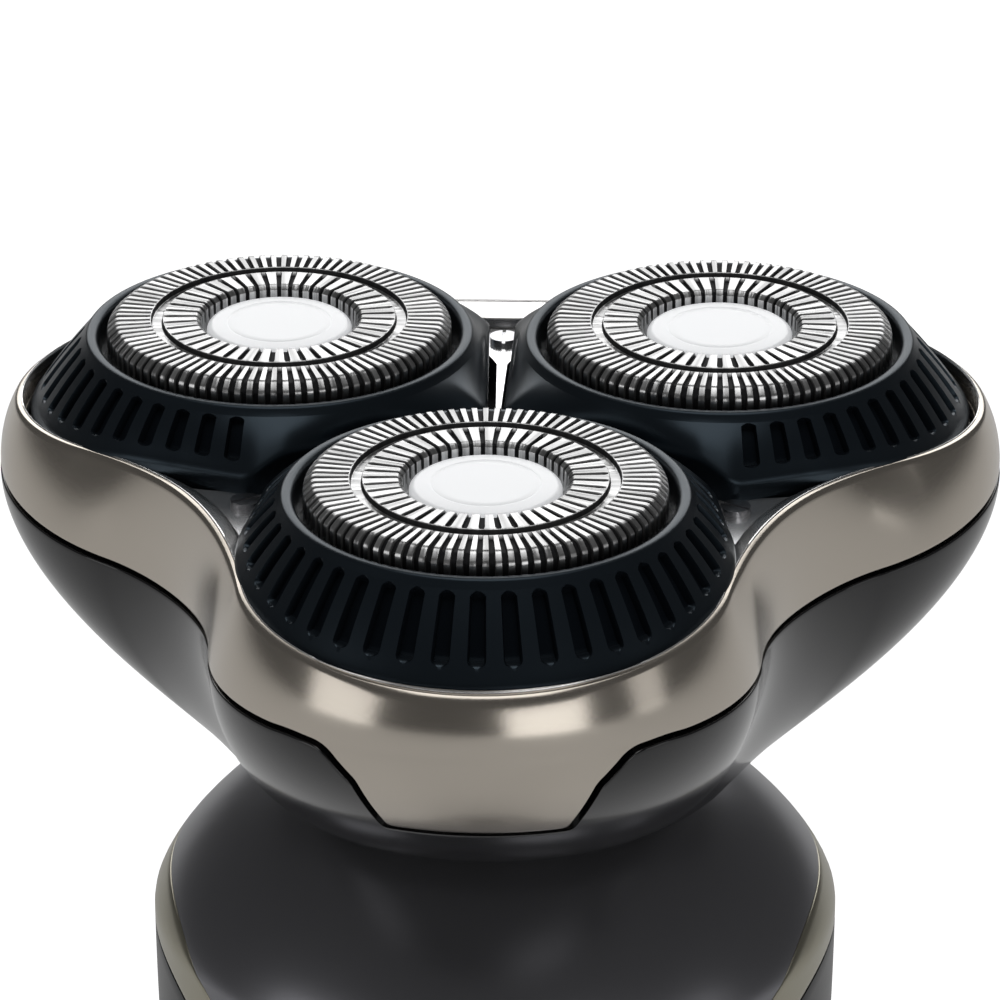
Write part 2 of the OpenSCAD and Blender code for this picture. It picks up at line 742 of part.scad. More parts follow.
module circuit_board() {
    color([0.1, 0.35, 0.2]) union() {
        translate([-11, -8.8, 12]) cube([22, 1.6, 76]);
        translate([-4, -10.4, 28]) cube([8, 1.6, 8]);
        translate([4, -10, 40]) cube([4, 1.2, 5]);
    }
}

module display_board() {
    color([0.08, 0.1, 0.1]) union() {
        translate([-8, -15.4, window_z[0] - 2]) cube([16, 1.2, window_z[1] - window_z[0] + 4]);
        for (s = [-1, 1]) translate([s * 6 - 1, -14.4, 57]) cube([2, 5.6, 2]);
    }
}

module display_window() {
    color([0.02, 0.02, 0.025]) intersection() {
        difference() {
            handle_skin(0.02, 0);
            handle_skin(1.4, -1);
        }
        panel_window(0);
    }
}

module button_bezel() {
    color([0.8, 0.8, 0.81]) translate([0, 0, button_z]) rotate([90, 0, 0])
        translate([0, 0, face(button_z) - 4]) difference() {
            cylinder(h = 4.4, r = 7.6);
            translate([0, 0, -1]) cylinder(h = 8, r = button_r + 0.1);
        }
}

module button_cap() {
    color([0.15, 0.15, 0.16]) translate([0, 0, button_z]) rotate([90, 0, 0]) union() {
        translate([0, 0, face(button_z) - 2.4]) cylinder(h = 3, r = button_r);
        translate([0, 0, 11.9]) cylinder(h = face(button_z) - 13, r = 1.5);
    }
}

module button_switch() {
    color([0.2, 0.2, 0.2]) translate([-3, -11, button_z - 3]) cube([6, 2.2, 6]);
}

module motor_leads() {
    color([0.7, 0.1, 0.1]) for (s = [-1, 1]) translate([s * 4, 0, 0]) union() {
        translate([0, -6.4, 86]) cylinder(h = 3.6, r = 0.5);
        translate([0, -6.9, 86.4]) rotate([90, 0, 0]) cylinder(h = 0.3, r = 0.5);
        translate([0, -6.4, 89.2]) rotate([-90, 0, 0]) cylinder(h = 1.6, r = 0.5);
        translate([0, -4.9, 88.8]) cylinder(h = 3.44, r = 0.5);
    }
}

// Placing

module at_head(k) {
    rotate(head_angles[k - 1]) children();
}

rear_shell();
front_panel();
trim_frame();
base_cap();
neck_collar();
neck_seal();
chassis();
motor_can();
motor_end_cap();
motor_plate();
battery_cell();
battery_contacts();
circuit_board();
display_board();
display_window();
button_bezel();
button_switch();
charge_socket();
socket_tongue();
handle_screws();
motor_leads();
motor_armature();
motor_shaft();
drive_coupler();
button_cap();
head_bowl();
hinge_block();
gear_plate();
gear_cover();
post_seals();
latch_catch();
hinge_pin();
plate_screws();
central_gear();
at_head(1) drive_gear();  // drive_gear_1
at_head(2) drive_gear();  // drive_gear_2
at_head(3) drive_gear();  // drive_gear_3
head_band();
band_lip();
head_deck();
deck_screws();
at_head(1) petal();  // petal_1
at_head(2) petal();  // petal_2
at_head(3) petal();  // petal_3
at_head(1) retainer();  // retainer_1
at_head(2) retainer();  // retainer_2
at_head(3) retainer();  // retainer_3
at_head(1) foil();  // foil_1
at_head(2) foil();  // foil_2
at_head(3) foil();  // foil_3
at_head(1) foil_cap();  // foil_cap_1
at_head(2) foil_cap();  // foil_cap_2
at_head(3) foil_cap();  // foil_cap_3
at_head(1) cutter();  // cutter_1
at_head(2) cutter();  // cutter_2
at_head(3) cutter();  // cutter_3
at_head(1) cutter_carrier();  // cutter_carrier_1
at_head(2) cutter_carrier();  // cutter_carrier_2
at_head(3) cutter_carrier();  // cutter_carrier_3
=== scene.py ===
import math

import bpy
import numpy as np
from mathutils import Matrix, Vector


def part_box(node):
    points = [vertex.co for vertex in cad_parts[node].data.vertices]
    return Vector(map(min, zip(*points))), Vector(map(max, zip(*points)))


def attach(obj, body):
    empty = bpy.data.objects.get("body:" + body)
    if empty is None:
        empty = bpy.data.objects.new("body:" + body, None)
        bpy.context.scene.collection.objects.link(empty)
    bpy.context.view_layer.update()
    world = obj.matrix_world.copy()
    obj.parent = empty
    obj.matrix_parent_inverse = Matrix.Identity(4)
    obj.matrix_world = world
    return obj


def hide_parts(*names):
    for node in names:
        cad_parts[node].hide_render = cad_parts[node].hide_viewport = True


# Shaver with three cutting rings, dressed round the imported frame. Lengths here are millimetres.
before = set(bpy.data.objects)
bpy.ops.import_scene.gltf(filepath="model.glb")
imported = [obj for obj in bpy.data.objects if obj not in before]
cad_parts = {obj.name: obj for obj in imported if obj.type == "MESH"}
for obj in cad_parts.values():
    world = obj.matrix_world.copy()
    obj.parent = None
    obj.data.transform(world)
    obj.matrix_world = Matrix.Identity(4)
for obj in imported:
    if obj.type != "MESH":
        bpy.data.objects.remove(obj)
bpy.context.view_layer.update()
mm = 0.001
ringTurns = [270, 30, 150]  # direction of each cutting ring: front, right back, left back
ringOut = 17.33             # from the head's axis to a ring's axis
cutZ = 158.0                # cutting plane
print("frame loaded")


# Makes a mesh object from points in millimetres and faces; values is {attribute: one number per point}.
def makePiece(name, points, faces, material, body, nodes=(), values=None, smooth=35):
    mesh = bpy.data.meshes.new(name)
    mesh.from_pydata((np.asarray(points) * mm).tolist(), [], faces)
    for key, value in (values or {}).items():
        layer = mesh.attributes.new(key, "FLOAT", "POINT")
        layer.data.foreach_set("value", np.asarray(value, np.float32).ravel())
    mesh.materials.append(material)
    mesh.shade_smooth()
    mesh.set_sharp_from_angle(angle=math.radians(smooth))
    piece = bpy.data.objects.new(name, mesh)
    bpy.context.scene.collection.objects.link(piece)
    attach(piece, body)
    if nodes:
        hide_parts(*nodes)
    return piece


# Faces of a grid of rows by columns, rows running downwards and columns anticlockwise seen from outside.
# ring joins the last column to the first, hoop joins the last row to the first.
def gridFaces(rows, cols, ring=True, hoop=False):
    i = np.arange(rows if hoop else rows - 1)[:, None]
    j = np.arange(cols if ring else cols - 1)[None, :]
    a, b = i * cols + j, i * cols + (j + 1) % cols
    c, d = ((i + 1) % rows) * cols + (j + 1) % cols, ((i + 1) % rows) * cols + j
    return np.stack([a, d, c, b], -1).reshape(-1, 4).tolist()


# Closes a ring row to one middle point, above or below it.
def capFaces(start, cols, centre, top):
    j = np.arange(cols)
    k = (j + 1) % cols
    pair = [start + j, start + k] if top else [start + k, start + j]
    return np.stack(pair + [np.full(cols, centre)], -1).tolist()


def smoothStep(x):
    x = np.clip(x, 0, 1)
    return x * x * (3 - 2 * x)


# Points along straight stretches joined by arcs: each corner is [x, y, radius], steps points to an arc.
def roundedPath(corners, steps=6):
    corners = np.array(corners, float)
    path = [corners[0, :2]]
    for before, here, after in zip(corners[:-2], corners[1:-1], corners[2:]):
        a, b = before[:2] - here[:2], after[:2] - here[:2]
        a, b = a / np.linalg.norm(a), b / np.linalg.norm(b)
        half = math.acos(np.clip(a @ b, -1, 1)) / 2
        if here[2] <= 0 or half > 1.55:
            path.append(here[:2])
            continue
        reach = here[2] / math.tan(half)
        centre = here[:2] + (a + b) / np.linalg.norm(a + b) * here[2] / math.sin(half)
        p, q = here[:2] + a * reach - centre, here[:2] + b * reach - centre
        turn = math.atan2(p[0] * q[1] - p[1] * q[0], p @ q)
        t = np.linspace(0, turn, steps)
        arc = [p[0] * np.cos(t) - p[1] * np.sin(t), p[0] * np.sin(t) + p[1] * np.cos(t)]
        path += list(centre + np.stack(arc, -1))
    return np.array(path + [corners[-1, :2]])


# Fills a path with extra points so that no step is longer than step.
def fillPath(path, step):
    out = [path[:1]]
    for p, q in zip(path[:-1], path[1:]):
        n = max(1, int(np.linalg.norm(q - p) / step + 0.999))
        out.append(p + (q - p) * (np.arange(1, n + 1) / n)[:, None])
    return np.concatenate(out)


def evenTurns(steps):
    return np.arange(steps) * 360 / steps


def turned(points, degrees):
    c, s = math.cos(math.radians(degrees)), math.sin(math.radians(degrees))
    x, y, z = np.moveaxis(np.asarray(points), -1, 0)
    return np.stack([x * c - y * s, x * s + y * c, z], -1)


# A profile of [radius, height] turned once round an axis; it closes at both ends on the axis.
def turnedPiece(name, profile, steps, material, body, nodes, place):
    t = np.radians(np.arange(steps) * 360 / steps)[None, :]
    r, z = profile[:, :1], profile[:, 1:]
    grid = np.stack([r * np.cos(t), r * np.sin(t), z + 0 * t], -1)
    ends = np.array([[0, 0, profile[0, 1]], [0, 0, profile[-1, 1]]])
    points = place(np.concatenate([grid.reshape(-1, 3), ends]))
    rows = len(profile)
    faces = gridFaces(rows, steps) + capFaces(0, steps, rows * steps, True)
    faces += capFaces((rows - 1) * steps, steps, rows * steps + 1, False)
    return makePiece(name, points, faces, material, body, nodes)


# Shared effects, each a node group.

def newGroup(name, inputs, outputs):
    group = bpy.data.node_groups.new(name, "ShaderNodeTree")
    for label, kind, value in inputs:
        socket = group.interface.new_socket(label, in_out="INPUT", socket_type=kind)
        if value is not None:
            socket.default_value = value
    for label, kind in outputs:
        group.interface.new_socket(label, in_out="OUTPUT", socket_type=kind)
    return group, group.nodes.new("NodeGroupInput"), group.nodes.new("NodeGroupOutput")


def addNode(tree, kind, **settings):
    node = tree.nodes.new(kind)
    for key, value in settings.items():
        if key.startswith("in_"):  # a socket's number or its name
            socket = int(key[3:]) if key[3:].isdigit() else key[3:].replace("_", " ")
            node.inputs[socket].default_value = value
        else:
            setattr(node, key, value)
    return node


# Fine moulded or blasted surface: small bumps and a slow change of shade; gives Shade, Roughness and Normal.
def buildGrain():
    group, inside, outside = newGroup(
        "fineGrain",
        [("Scale", "NodeSocketFloat", 900.0), ("Depth", "NodeSocketFloat", 0.02),
         ("Rough", "NodeSocketFloat", 0.3), ("Spread", "NodeSocketFloat", 0.05),
         ("Colour", "NodeSocketColor", (0.1, 0.1, 0.1, 1)), ("Drift", "NodeSocketFloat", 0.08)],
        [("Shade", "NodeSocketColor"), ("Roughness", "NodeSocketFloat"), ("Normal", "NodeSocketVector")])
    link = group.links.new
    place = addNode(group, "ShaderNodeTexCoord")
    fine = addNode(group, "ShaderNodeTexNoise", in_Detail=3.0)
    link(place.outputs["Object"], fine.inputs["Vector"])
    link(inside.outputs["Scale"], fine.inputs["Scale"])
    slow = addNode(group, "ShaderNodeTexNoise", in_Scale=60.0, in_Detail=2.0)
    link(place.outputs["Object"], slow.inputs["Vector"])
    bump = addNode(group, "ShaderNodeBump", in_Distance=0.0001)
    link(fine.outputs["Fac"], bump.inputs["Height"])
    link(inside.outputs["Depth"], bump.inputs["Strength"])
    link(bump.outputs["Normal"], outside.inputs["Normal"])
    away = addNode(group, "ShaderNodeMath", operation="SUBTRACT", in_1=0.5)
    link(slow.outputs["Fac"], away.inputs[0])
    spread = addNode(group, "ShaderNodeMath", operation="MULTIPLY_ADD")
    link(away.outputs[0], spread.inputs[0])
    link(inside.outputs["Spread"], spread.inputs[1])
    link(inside.outputs["Rough"], spread.inputs[2])
    link(spread.outputs[0], outside.inputs["Roughness"])
    drift = addNode(group, "ShaderNodeMath", operation="MULTIPLY_ADD", in_2=1.0)
    link(away.outputs[0], drift.inputs[0])
    link(inside.outputs["Drift"], drift.inputs[1])
    shade = addNode(group, "ShaderNodeVectorMath", operation="SCALE")
    link(inside.outputs["Colour"], shade.inputs[0])
    link(drift.outputs[0], shade.inputs["Scale"])
    link(shade.outputs[0], outside.inputs["Shade"])
    return group


# Streaks that run out from a vertical axis at Centre, as radial brushing leaves; gives Streak and Normal.
def buildRadialStreaks():
    group, inside, outside = newGroup(
        "radialStreaks",
        [("Centre", "NodeSocketVector", (0, 0, 0)), ("Count", "NodeSocketFloat", 60.0),
         ("Depth", "NodeSocketFloat", 0.1), ("Along", "NodeSocketFloat", 100.0)],
        [("Streak", "NodeSocketFloat"), ("Normal", "NodeSocketVector")])
    link = group.links.new
    place = addNode(group, "ShaderNodeTexCoord")
    shift = addNode(group, "ShaderNodeVectorMath", operation="SUBTRACT")
    link(place.outputs["Object"], shift.inputs[0])
    link(inside.outputs["Centre"], shift.inputs[1])
    flat = addNode(group, "ShaderNodeVectorMath", operation="MULTIPLY", in_1=(1, 1, 0))
    link(shift.outputs[0], flat.inputs[0])
    unit = addNode(group, "ShaderNodeVectorMath", operation="NORMALIZE")
    link(flat.outputs[0], unit.inputs[0])
    size = addNode(group, "ShaderNodeVectorMath", operation="LENGTH")
    link(flat.outputs[0], size.inputs[0])
    along = addNode(group, "ShaderNodeMath", operation="MULTIPLY")
    link(size.outputs["Value"], along.inputs[0])
    link(inside.outputs["Along"], along.inputs[1])
    scaled = addNode(group, "ShaderNodeVectorMath", operation="SCALE")
    link(unit.outputs[0], scaled.inputs[0])
    link(inside.outputs["Count"], scaled.inputs["Scale"])
    split = addNode(group, "ShaderNodeSeparateXYZ")
    link(scaled.outputs[0], split.inputs[0])
    join = addNode(group, "ShaderNodeCombineXYZ")
    link(split.outputs["X"], join.inputs["X"])
    link(split.outputs["Y"], join.inputs["Y"])
    link(along.outputs[0], join.inputs["Z"])
    noise = addNode(group, "ShaderNodeTexNoise", in_Scale=1.0, in_Detail=2.0)
    link(join.outputs[0], noise.inputs["Vector"])
    bump = addNode(group, "ShaderNodeBump", in_Distance=0.0002)
    link(noise.outputs["Fac"], bump.inputs["Height"])
    link(inside.outputs["Depth"], bump.inputs["Strength"])
    link(bump.outputs["Normal"], outside.inputs["Normal"])
    link(noise.outputs["Fac"], outside.inputs["Streak"])
    return group


grain = buildGrain()
streaks = buildRadialStreaks()


# Material with the fine grain in front of its shader; further settings go on the shader's own sockets.
def grainMaterial(name, colour, rough, scale=900.0, depth=0.02, spread=0.05, drift=0.08, **settings):
    material = bpy.data.materials.new(name)
    material.use_nodes = True
    tree = material.node_tree
    shader = tree.nodes["Principled BSDF"]
    effect = addNode(tree, "ShaderNodeGroup", node_tree=grain)
    for key, value in dict(Scale=scale, Depth=depth, Rough=rough, Spread=spread, Drift=drift,
                           Colour=(*colour, 1)).items():
        effect.inputs[key].default_value = value
    tree.links.new(effect.outputs["Shade"], shader.inputs["Base Color"])
    tree.links.new(effect.outputs["Roughness"], shader.inputs["Roughness"])
    tree.links.new(effect.outputs["Normal"], shader.inputs["Normal"])
    for key, value in settings.items():
        shader.inputs[key.replace("_", " ")].default_value = value
    return material


finishes = {
    "bandPaint": dict(colour=(0.56, 0.51, 0.445), rough=0.2, scale=2600.0, depth=0.03, Metallic=0.95),
    "lipChrome": dict(colour=(0.96, 0.95, 0.94), rough=0.25, scale=500.0, depth=0.01, Metallic=1.0),
    "deckChrome": dict(colour=(0.95, 0.95, 0.96), rough=0.2, scale=500.0, depth=0.02, Metallic=0.9),
    "bowlGloss": dict(colour=(0.006, 0.006, 0.007), rough=0.14, scale=1800.0, depth=0.01, Coat_Weight=0.3,
                      Coat_Roughness=0.08),
    "shellBlack": dict(colour=(0.010, 0.010, 0.011), rough=0.34, scale=2400.0, depth=0.05),
    "panelGunmetal": dict(colour=(0.2, 0.2, 0.215), rough=0.3, scale=2200.0, depth=0.02, Metallic=0.8),
    "trimBronze": dict(colour=(0.36, 0.34, 0.27), rough=0.3, scale=2400.0, depth=0.02, Metallic=0.9),
    # the cap's emission is a painted glow that makes it brighter than the light falling on it
    "capWhiteGlow": dict(colour=(0.97, 0.975, 0.98), rough=0.3, scale=700.0, depth=0.01,
                     Emission_Color=(0.95, 0.97, 1, 1), Emission_Strength=0.3),
    "sealRubber": dict(colour=(0.01, 0.01, 0.011), rough=0.6, scale=1500.0, depth=0.1),
    "innerPlastic": dict(colour=(0.05, 0.052, 0.056), rough=0.45, scale=1400.0, depth=0.08),
    "gearPlastic": dict(colour=(0.8, 0.79, 0.74), rough=0.4, scale=1200.0, depth=0.05),
    "screwSteel": dict(colour=(0.55, 0.55, 0.57), rough=0.25, scale=1500.0, depth=0.05, Metallic=1.0),
    "motorSteel": dict(colour=(0.6, 0.6, 0.62), rough=0.32, scale=1200.0, depth=0.05, Metallic=1.0),
    "copperWinding": dict(colour=(0.7, 0.32, 0.14), rough=0.3, scale=3000.0, depth=0.2, Metallic=1.0),
    "batteryWrap": dict(colour=(0.05, 0.16, 0.42), rough=0.3, scale=800.0, depth=0.03, Coat_Weight=0.4),
    "brassContact": dict(colour=(0.7, 0.52, 0.25), rough=0.3, scale=900.0, depth=0.03, Metallic=1.0),
    "boardGreen": dict(colour=(0.02, 0.12, 0.05), rough=0.4, scale=600.0, depth=0.06),
    "displayBlack": dict(colour=(0.004, 0.004, 0.005), rough=0.06, scale=300.0, depth=0.003, Coat_Weight=1.0),
    "leadRed": dict(colour=(0.5, 0.02, 0.02), rough=0.4, scale=900.0, depth=0.03),
}
paints = {name: grainMaterial(name, **values) for name, values in finishes.items()}


steelLook = {
    "count": 14.0, "along": 90.0, "depth": 0.5, "streak": (0.35, 0.65), "tone": (0.36, 0.66),
    # floor is a painted shade colour for the bottoms of the slots and the groove's walls
    "floor": (0.03, 0.03, 0.032, 1), "rough": (0.3, 0.7),  # top of a bar, bottom of a slot
}


# Polished steel with radial streaks round one ring's axis, with painted shade making it nearly black and
# rougher at the bottom of the slots.
def steelMaterial(name, centre):
    look = steelLook
    material = bpy.data.materials.new(name)
    material.use_nodes = True
    tree = material.node_tree
    link = tree.links.new
    shader = tree.nodes["Principled BSDF"]
    shader.inputs["Metallic"].default_value = 1.0
    effect = addNode(tree, "ShaderNodeGroup", node_tree=streaks)
    effect.inputs["Centre"].default_value = centre
    effect.inputs["Count"].default_value = look["count"]
    effect.inputs["Along"].default_value = look["along"]
    effect.inputs["Depth"].default_value = look["depth"]
    link(effect.outputs["Normal"], shader.inputs["Normal"])
    tone = addNode(tree, "ShaderNodeMapRange", in_From_Min=look["streak"][0], in_From_Max=look["streak"][1],
                   in_To_Min=look["tone"][0], in_To_Max=look["tone"][1])
    link(effect.outputs["Streak"], tone.inputs["Value"])
    # painted shade: the marked slot floors and groove walls are mixed to a nearly black colour and made
    # rougher
    dark = addNode(tree, "ShaderNodeAttribute", attribute_name="slotShade")
    mix = addNode(tree, "ShaderNodeMix", data_type="RGBA")
    link(dark.outputs["Fac"], mix.inputs["Factor"])
    link(tone.outputs["Result"], mix.inputs[6])
    mix.inputs[7].default_value = look["floor"]
    link(mix.outputs[2], shader.inputs["Base Color"])
    rough = addNode(tree, "ShaderNodeMapRange", in_To_Min=look["rough"][0], in_To_Max=look["rough"][1])
    link(dark.outputs["Fac"], rough.inputs["Value"])
    link(rough.outputs["Result"], shader.inputs["Roughness"])
    return material


ringCentres = [turned([ringOut, 0, 0], turn) for turn in ringTurns]
foilSteel = [steelMaterial(f"foilSteel{k + 1}", tuple(ringCentres[k] * mm)) for k in range(3)]
bladeSteel = [steelMaterial(f"bladeSteel{k + 1}", tuple(ringCentres[k] * mm)) for k in range(3)]
print("materials made")


# Outer shell of the head: three lobe curves as (radius, distance from the axis, radius of the joining arcs).
headShape = {
    "rim": (15.98, 19.96, 35.0), "rimZ": 151.61, "rimRise": 1.9,
    "lip": (15.36, 20.21, 21.0), "lipZ": 151.85, "lipRise": 0.97,
    "band": (17.9, 19.06, 17.7), "bandZ": 147.77, "bandFall": 1.82,
    "neckR": 16.85, "neckZ": 129.94, "seam": 0.35, "belly": 0.35,
    "tabHalfTop": 9.9, "tabHalfMid": 7.7, "tabHalfLow": 5.7, "tabDrop": 6.95,
    "bandWall": 1.3, "footWall": 0.75, "ledge": 1.4,  # band's wall at top and foot, depth of its ledge
    "bowlWall": 1.8, "bowlFloor": 1.5, "boreR": 12.1, "pocketR": 32.4, "pocketWall": 1.4,
}


# Three lobes of radius a at e from the axis, joined by inward arcs of radius f; th in degrees.
def lobeRadius(th, a, e, f):
    ph = np.abs(((th + 30) % 120) - 60)
    c, s = np.cos(np.radians(ph)), np.sin(np.radians(ph))
    far = e * 0.5 + math.sqrt((a + f) ** 2 - 0.75 * e * e)
    k = a / (a + f)
    join = math.degrees(math.atan2(k * far * math.sqrt(0.75), e + k * (far * 0.5 - e)))
    c2, s2 = np.cos(np.radians(60 - ph)), np.sin(np.radians(60 - ph))
    near = e * c + np.sqrt(np.maximum(a * a - (e * s) ** 2, 0))
    between = far * c2 - np.sqrt(np.maximum(f * f - (far * s2) ** 2, 0))
    return np.where(ph < join, near, between)


def wave(th):  # 0 at the lobes, 1 at the waists
    return (1 - np.cos(np.radians(3 * (th - 30)))) / 2


def rimRadius(th):
    return lobeRadius(th, *headShape["rim"])


def bandRadius(th):
    return lobeRadius(th, *headShape["band"])


def rimHeight(th):
    return headShape["rimZ"] + headShape["rimRise"] * wave(th)


def bandHeight(th):
    return headShape["bandZ"] - headShape["bandFall"] * wave(th)


def lipHeight(th):
    return headShape["lipZ"] + headShape["lipRise"] * wave(th)


def lipRadius(th):
    return np.minimum(lobeRadius(th, *headShape["lip"]), rimRadius(th) - 0.45)


# Bowl's radius at a height: the band's radius falls to the neck's as (1 - u^1.58)(1 + 0.2u).
def bowlRadius(th, z):
    u = np.clip((bandHeight(th) - z) / (bandHeight(th) - headShape["neckZ"]), 0, 1)
    return headShape["neckR"] + (bandRadius(th) - headShape["neckR"]) * (1 - u ** 1.58) * (1 + 0.2 * u)


# Outer surface at a height: the band's leaning wall above its lower edge, the bowl's curve below it.
def headRadius(th, z):
    v = np.clip((rimHeight(th) - z) / (rimHeight(th) - bandHeight(th)), 0, 1)
    wall = rimRadius(th) + (bandRadius(th) - rimRadius(th)) * v + headShape["belly"] * 4 * v * (1 - v)
    return np.where(z > bandHeight(th), wall, bowlRadius(th, z))


def polar(r, th, z):
    r, th, z = np.broadcast_arrays(r, th, z)
    return np.stack([r * np.cos(np.radians(th)), r * np.sin(np.radians(th)), z], -1)


# Edge between band and bowl as [direction, height], once round from the back: the band's lower edge with
# the finger tab let into its front. grow moves it down and out, for the bowl's side of the seam.
def bandEdge(grow):
    h = headShape
    low = h["bandZ"] - h["tabDrop"] - grow
    shoulder = h["bandZ"] - 0.55 - grow
    corners = [[-14.5, h["bandZ"] - 0.3 - grow, 0], [-h["tabHalfTop"] - grow, shoulder + 0.1, 2.2],
               [-h["tabHalfMid"] - grow, shoulder - 2.1, 2.4], [-h["tabHalfLow"] - grow, low, 0.7]]
    corners += [[-x, z, r] for x, z, r in corners[::-1]]
    tab = fillPath(roundedPath(corners, 10), 0.25)
    front = 270 + np.degrees(np.arcsin(tab[:, 0] / headRadius(270 + 0 * tab[:, 1], tab[:, 1])))
    ease = smoothStep((np.abs(tab[:, 0]) - 11.5) / 3)
    height = tab[:, 1] * (1 - ease) + (bandHeight(front) - grow) * ease
    right = np.linspace(front[-1], 450, 400)[1:]
    left = np.linspace(90, front[0], 400)[1:-1]
    th = np.concatenate([[90.0], left, front, right[:-1]])
    plain = bandHeight(th) - grow
    z = np.concatenate([plain[:len(left) + 1], height, plain[len(left) + len(front) + 1:]])
    return th, z


# Champagne band: its outer wall from the rim down to the seam, then its inner wall going back up.
def buildBand():
    th, edge = bandEdge(0.0)
    top = rimHeight(th)
    h = headShape
    rows = []
    for drop, inset in [(0.0, 0.35), (0.02, 0.16), (0.07, 0.05)]:  # rounded upper edge
        rows.append(polar(headRadius(th, top - drop) - inset, th, top - drop))
    for v in np.linspace(0.03, 1, 44):
        z = top - 0.15 - (top - 0.15 - edge - 0.14) * v
        rows.append(polar(headRadius(th, z), th, z))
    for rise, inset in [(0.07, 0.03), (0.02, 0.09), (0.0, 0.18)]:  # rounded lower edge
        rows.append(polar(headRadius(th, edge + rise) - inset, th, edge + rise))
    for w in np.linspace(0, 1, 6):
        z = edge + (top - h["ledge"] - edge) * w
        rows.append(polar(headRadius(th, z) - h["footWall"] - (h["bandWall"] - h["footWall"]) * w, th, z))
    rows.append(polar(rimRadius(th) - 0.6, th, top - h["ledge"]))
    grid = np.stack(rows)
    faces = gridFaces(len(rows), len(th), True, True)
    makePiece("bandShell", grid.reshape(-1, 3), faces, paints["bandPaint"], "head_frame",
              ["head_band"], smooth=60)


# Bright lip between the rim and the opening: a low bead, a straight slope inwards, then a wall going down.
def buildLip():
    th = evenTurns(720)
    bead, rise = 0.1, 0.06
    outer, inner = rimRadius(th) - 0.36, lipRadius(th)
    top, low = rimHeight(th), lipHeight(th)
    rows = [polar(outer, th, top - headShape["bandWall"]), polar(outer, th, top - 0.02)]
    rows += [polar(outer - bead * w, th, top + rise * math.sin(1.57 * w)) for w in (0.5, 1.0)]
    for v in (0.1, 0.3, 0.5, 0.7, 0.9):
        slope = outer - bead + (inner + 0.1 - outer + bead) * v
        rows.append(polar(slope, th, top + rise + (low - top - rise) * v))
    rows += [polar(inner + 0.03, th, low - 0.05), polar(inner, th, low - 0.15), polar(inner, th, low - 2.6)]
    grid = np.stack(rows[::-1])
    faces = gridFaces(len(rows), len(th), True, True)
    makePiece("lipTrim", grid.reshape(-1, 3), faces, paints["lipChrome"], "head_frame",
              ["band_lip"], smooth=50)


# Glossy bowl: outside from the seam down to the neck, its floor with a bore, then its inside up to a ledge.
# Behind the finger tab its wall stands further in, as a pocket that the tab swings out of.
def buildBowl():
    h = headShape
    th, edge = bandEdge(h["seam"])
    topZ = bandHeight(th) - h["seam"]
    behindTab = (smoothStep((topZ - edge) / 0.8) > 0.5) & (np.abs(th - 270) < 19)
    pocket, floorZ = h["pocketR"], h["neckZ"] + h["bowlFloor"]
    flat = 0 * th
    rows = []
    for drop, inset in [(0.0, 0.12), (0.03, 0.04), (0.1, 0.0)]:
        rows.append(polar(headRadius(th, edge - drop) - inset, th, edge - drop))
    for v in np.linspace(0.02, 1, 60):
        z = edge - 0.1 - (edge - 0.1 - h["neckZ"] - 0.25) * v ** 1.1
        rows.append(polar(bowlRadius(th, z), th, z))
    for r, z in [(h["neckR"] - 0.1, h["neckZ"] + 0.08), (h["neckR"] - 0.35, h["neckZ"]),
                 (h["boreR"], h["neckZ"]), (h["boreR"], floorZ)]:
        rows.append(polar(r + flat, th, z + flat))
    for v in np.linspace(0, 1, 12):
        z = floorZ + (topZ - 0.02 - floorZ) * v
        skin = bowlRadius(th, z) - h["bowlWall"]
        rows.append(polar(np.where(behindTab, np.minimum(skin, pocket - h["pocketWall"]), skin), th, z))
    ledge = headRadius(th, edge)
    rows.append(polar(np.where(behindTab, pocket, ledge - 1.0), th, topZ))
    rows.append(polar(np.where(behindTab, pocket + 0.02, ledge - 0.5), th, np.where(behindTab, edge, topZ)))
    grid = np.stack(rows)
    return makePiece("bowlShell", grid.reshape(-1, 3), gridFaces(len(rows), len(th), True, True),
                     paints["bowlGloss"], "head_base", ["head_bowl"], smooth=50)


hingeShape = {"r": 1.9, "half": 3.9, "pinR": 0.86, "barLow": 0.35}


# Middle knuckle of the rear hinge, a barrel on a short bar that comes out of the band.
def buildKnuckle():
    r, half, pin, under = [hingeShape[key] for key in ("r", "half", "pinR", "barLow")]
    low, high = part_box("hinge_block")
    y, z = high.y / mm - r, low.z / mm + r
    t = np.radians(evenTurns(48))[None, :]
    corners = [[pin, -half, 0], [r, -half, 0.25], [r, half, 0.25], [pin, half, 0]]
    profile = fillPath(roundedPath(corners, 5), 1.5)
    out, x = profile[:, :1], profile[:, 1:]
    grid = np.stack([x + 0 * t, y + out * np.cos(t), z - out * np.sin(t)], -1)
    faces = gridFaces(len(profile), 48, True, True)
    makePiece("bandKnuckle", grid.reshape(-1, 3), faces, paints["bandPaint"], "head_frame",
              ["head_band"])
    back = bandRadius(90.0) - 1.0
    side = roundedPath([[0, r, 0], [half, r, 0.3], [half, under, 0.3], [0, under, 0]], 5)
    loop = np.concatenate([side[:-1], side[::-1][:-1] * [-1, 1]])
    bars = [np.stack([loop[:, 0], 0 * loop[:, 0] + yy, z + loop[:, 1]], -1) for yy in np.linspace(back, y, 8)]
    grid = np.stack(bars)[::-1]
    n = len(loop)
    points = np.concatenate([grid.reshape(-1, 3), [[0, y, z + 1.1], [0, back, z + 1.1]]])
    faces = gridFaces(8, n) + capFaces(0, n, 8 * n, True) + capFaces(7 * n, n, 8 * n + 1, False)
    makePiece("bandHingeBar", points, faces, paints["bandPaint"], "head_frame",
              ["head_band"])


buildBand()
buildLip()
buildBowl()
buildKnuckle()
print("head shell built")


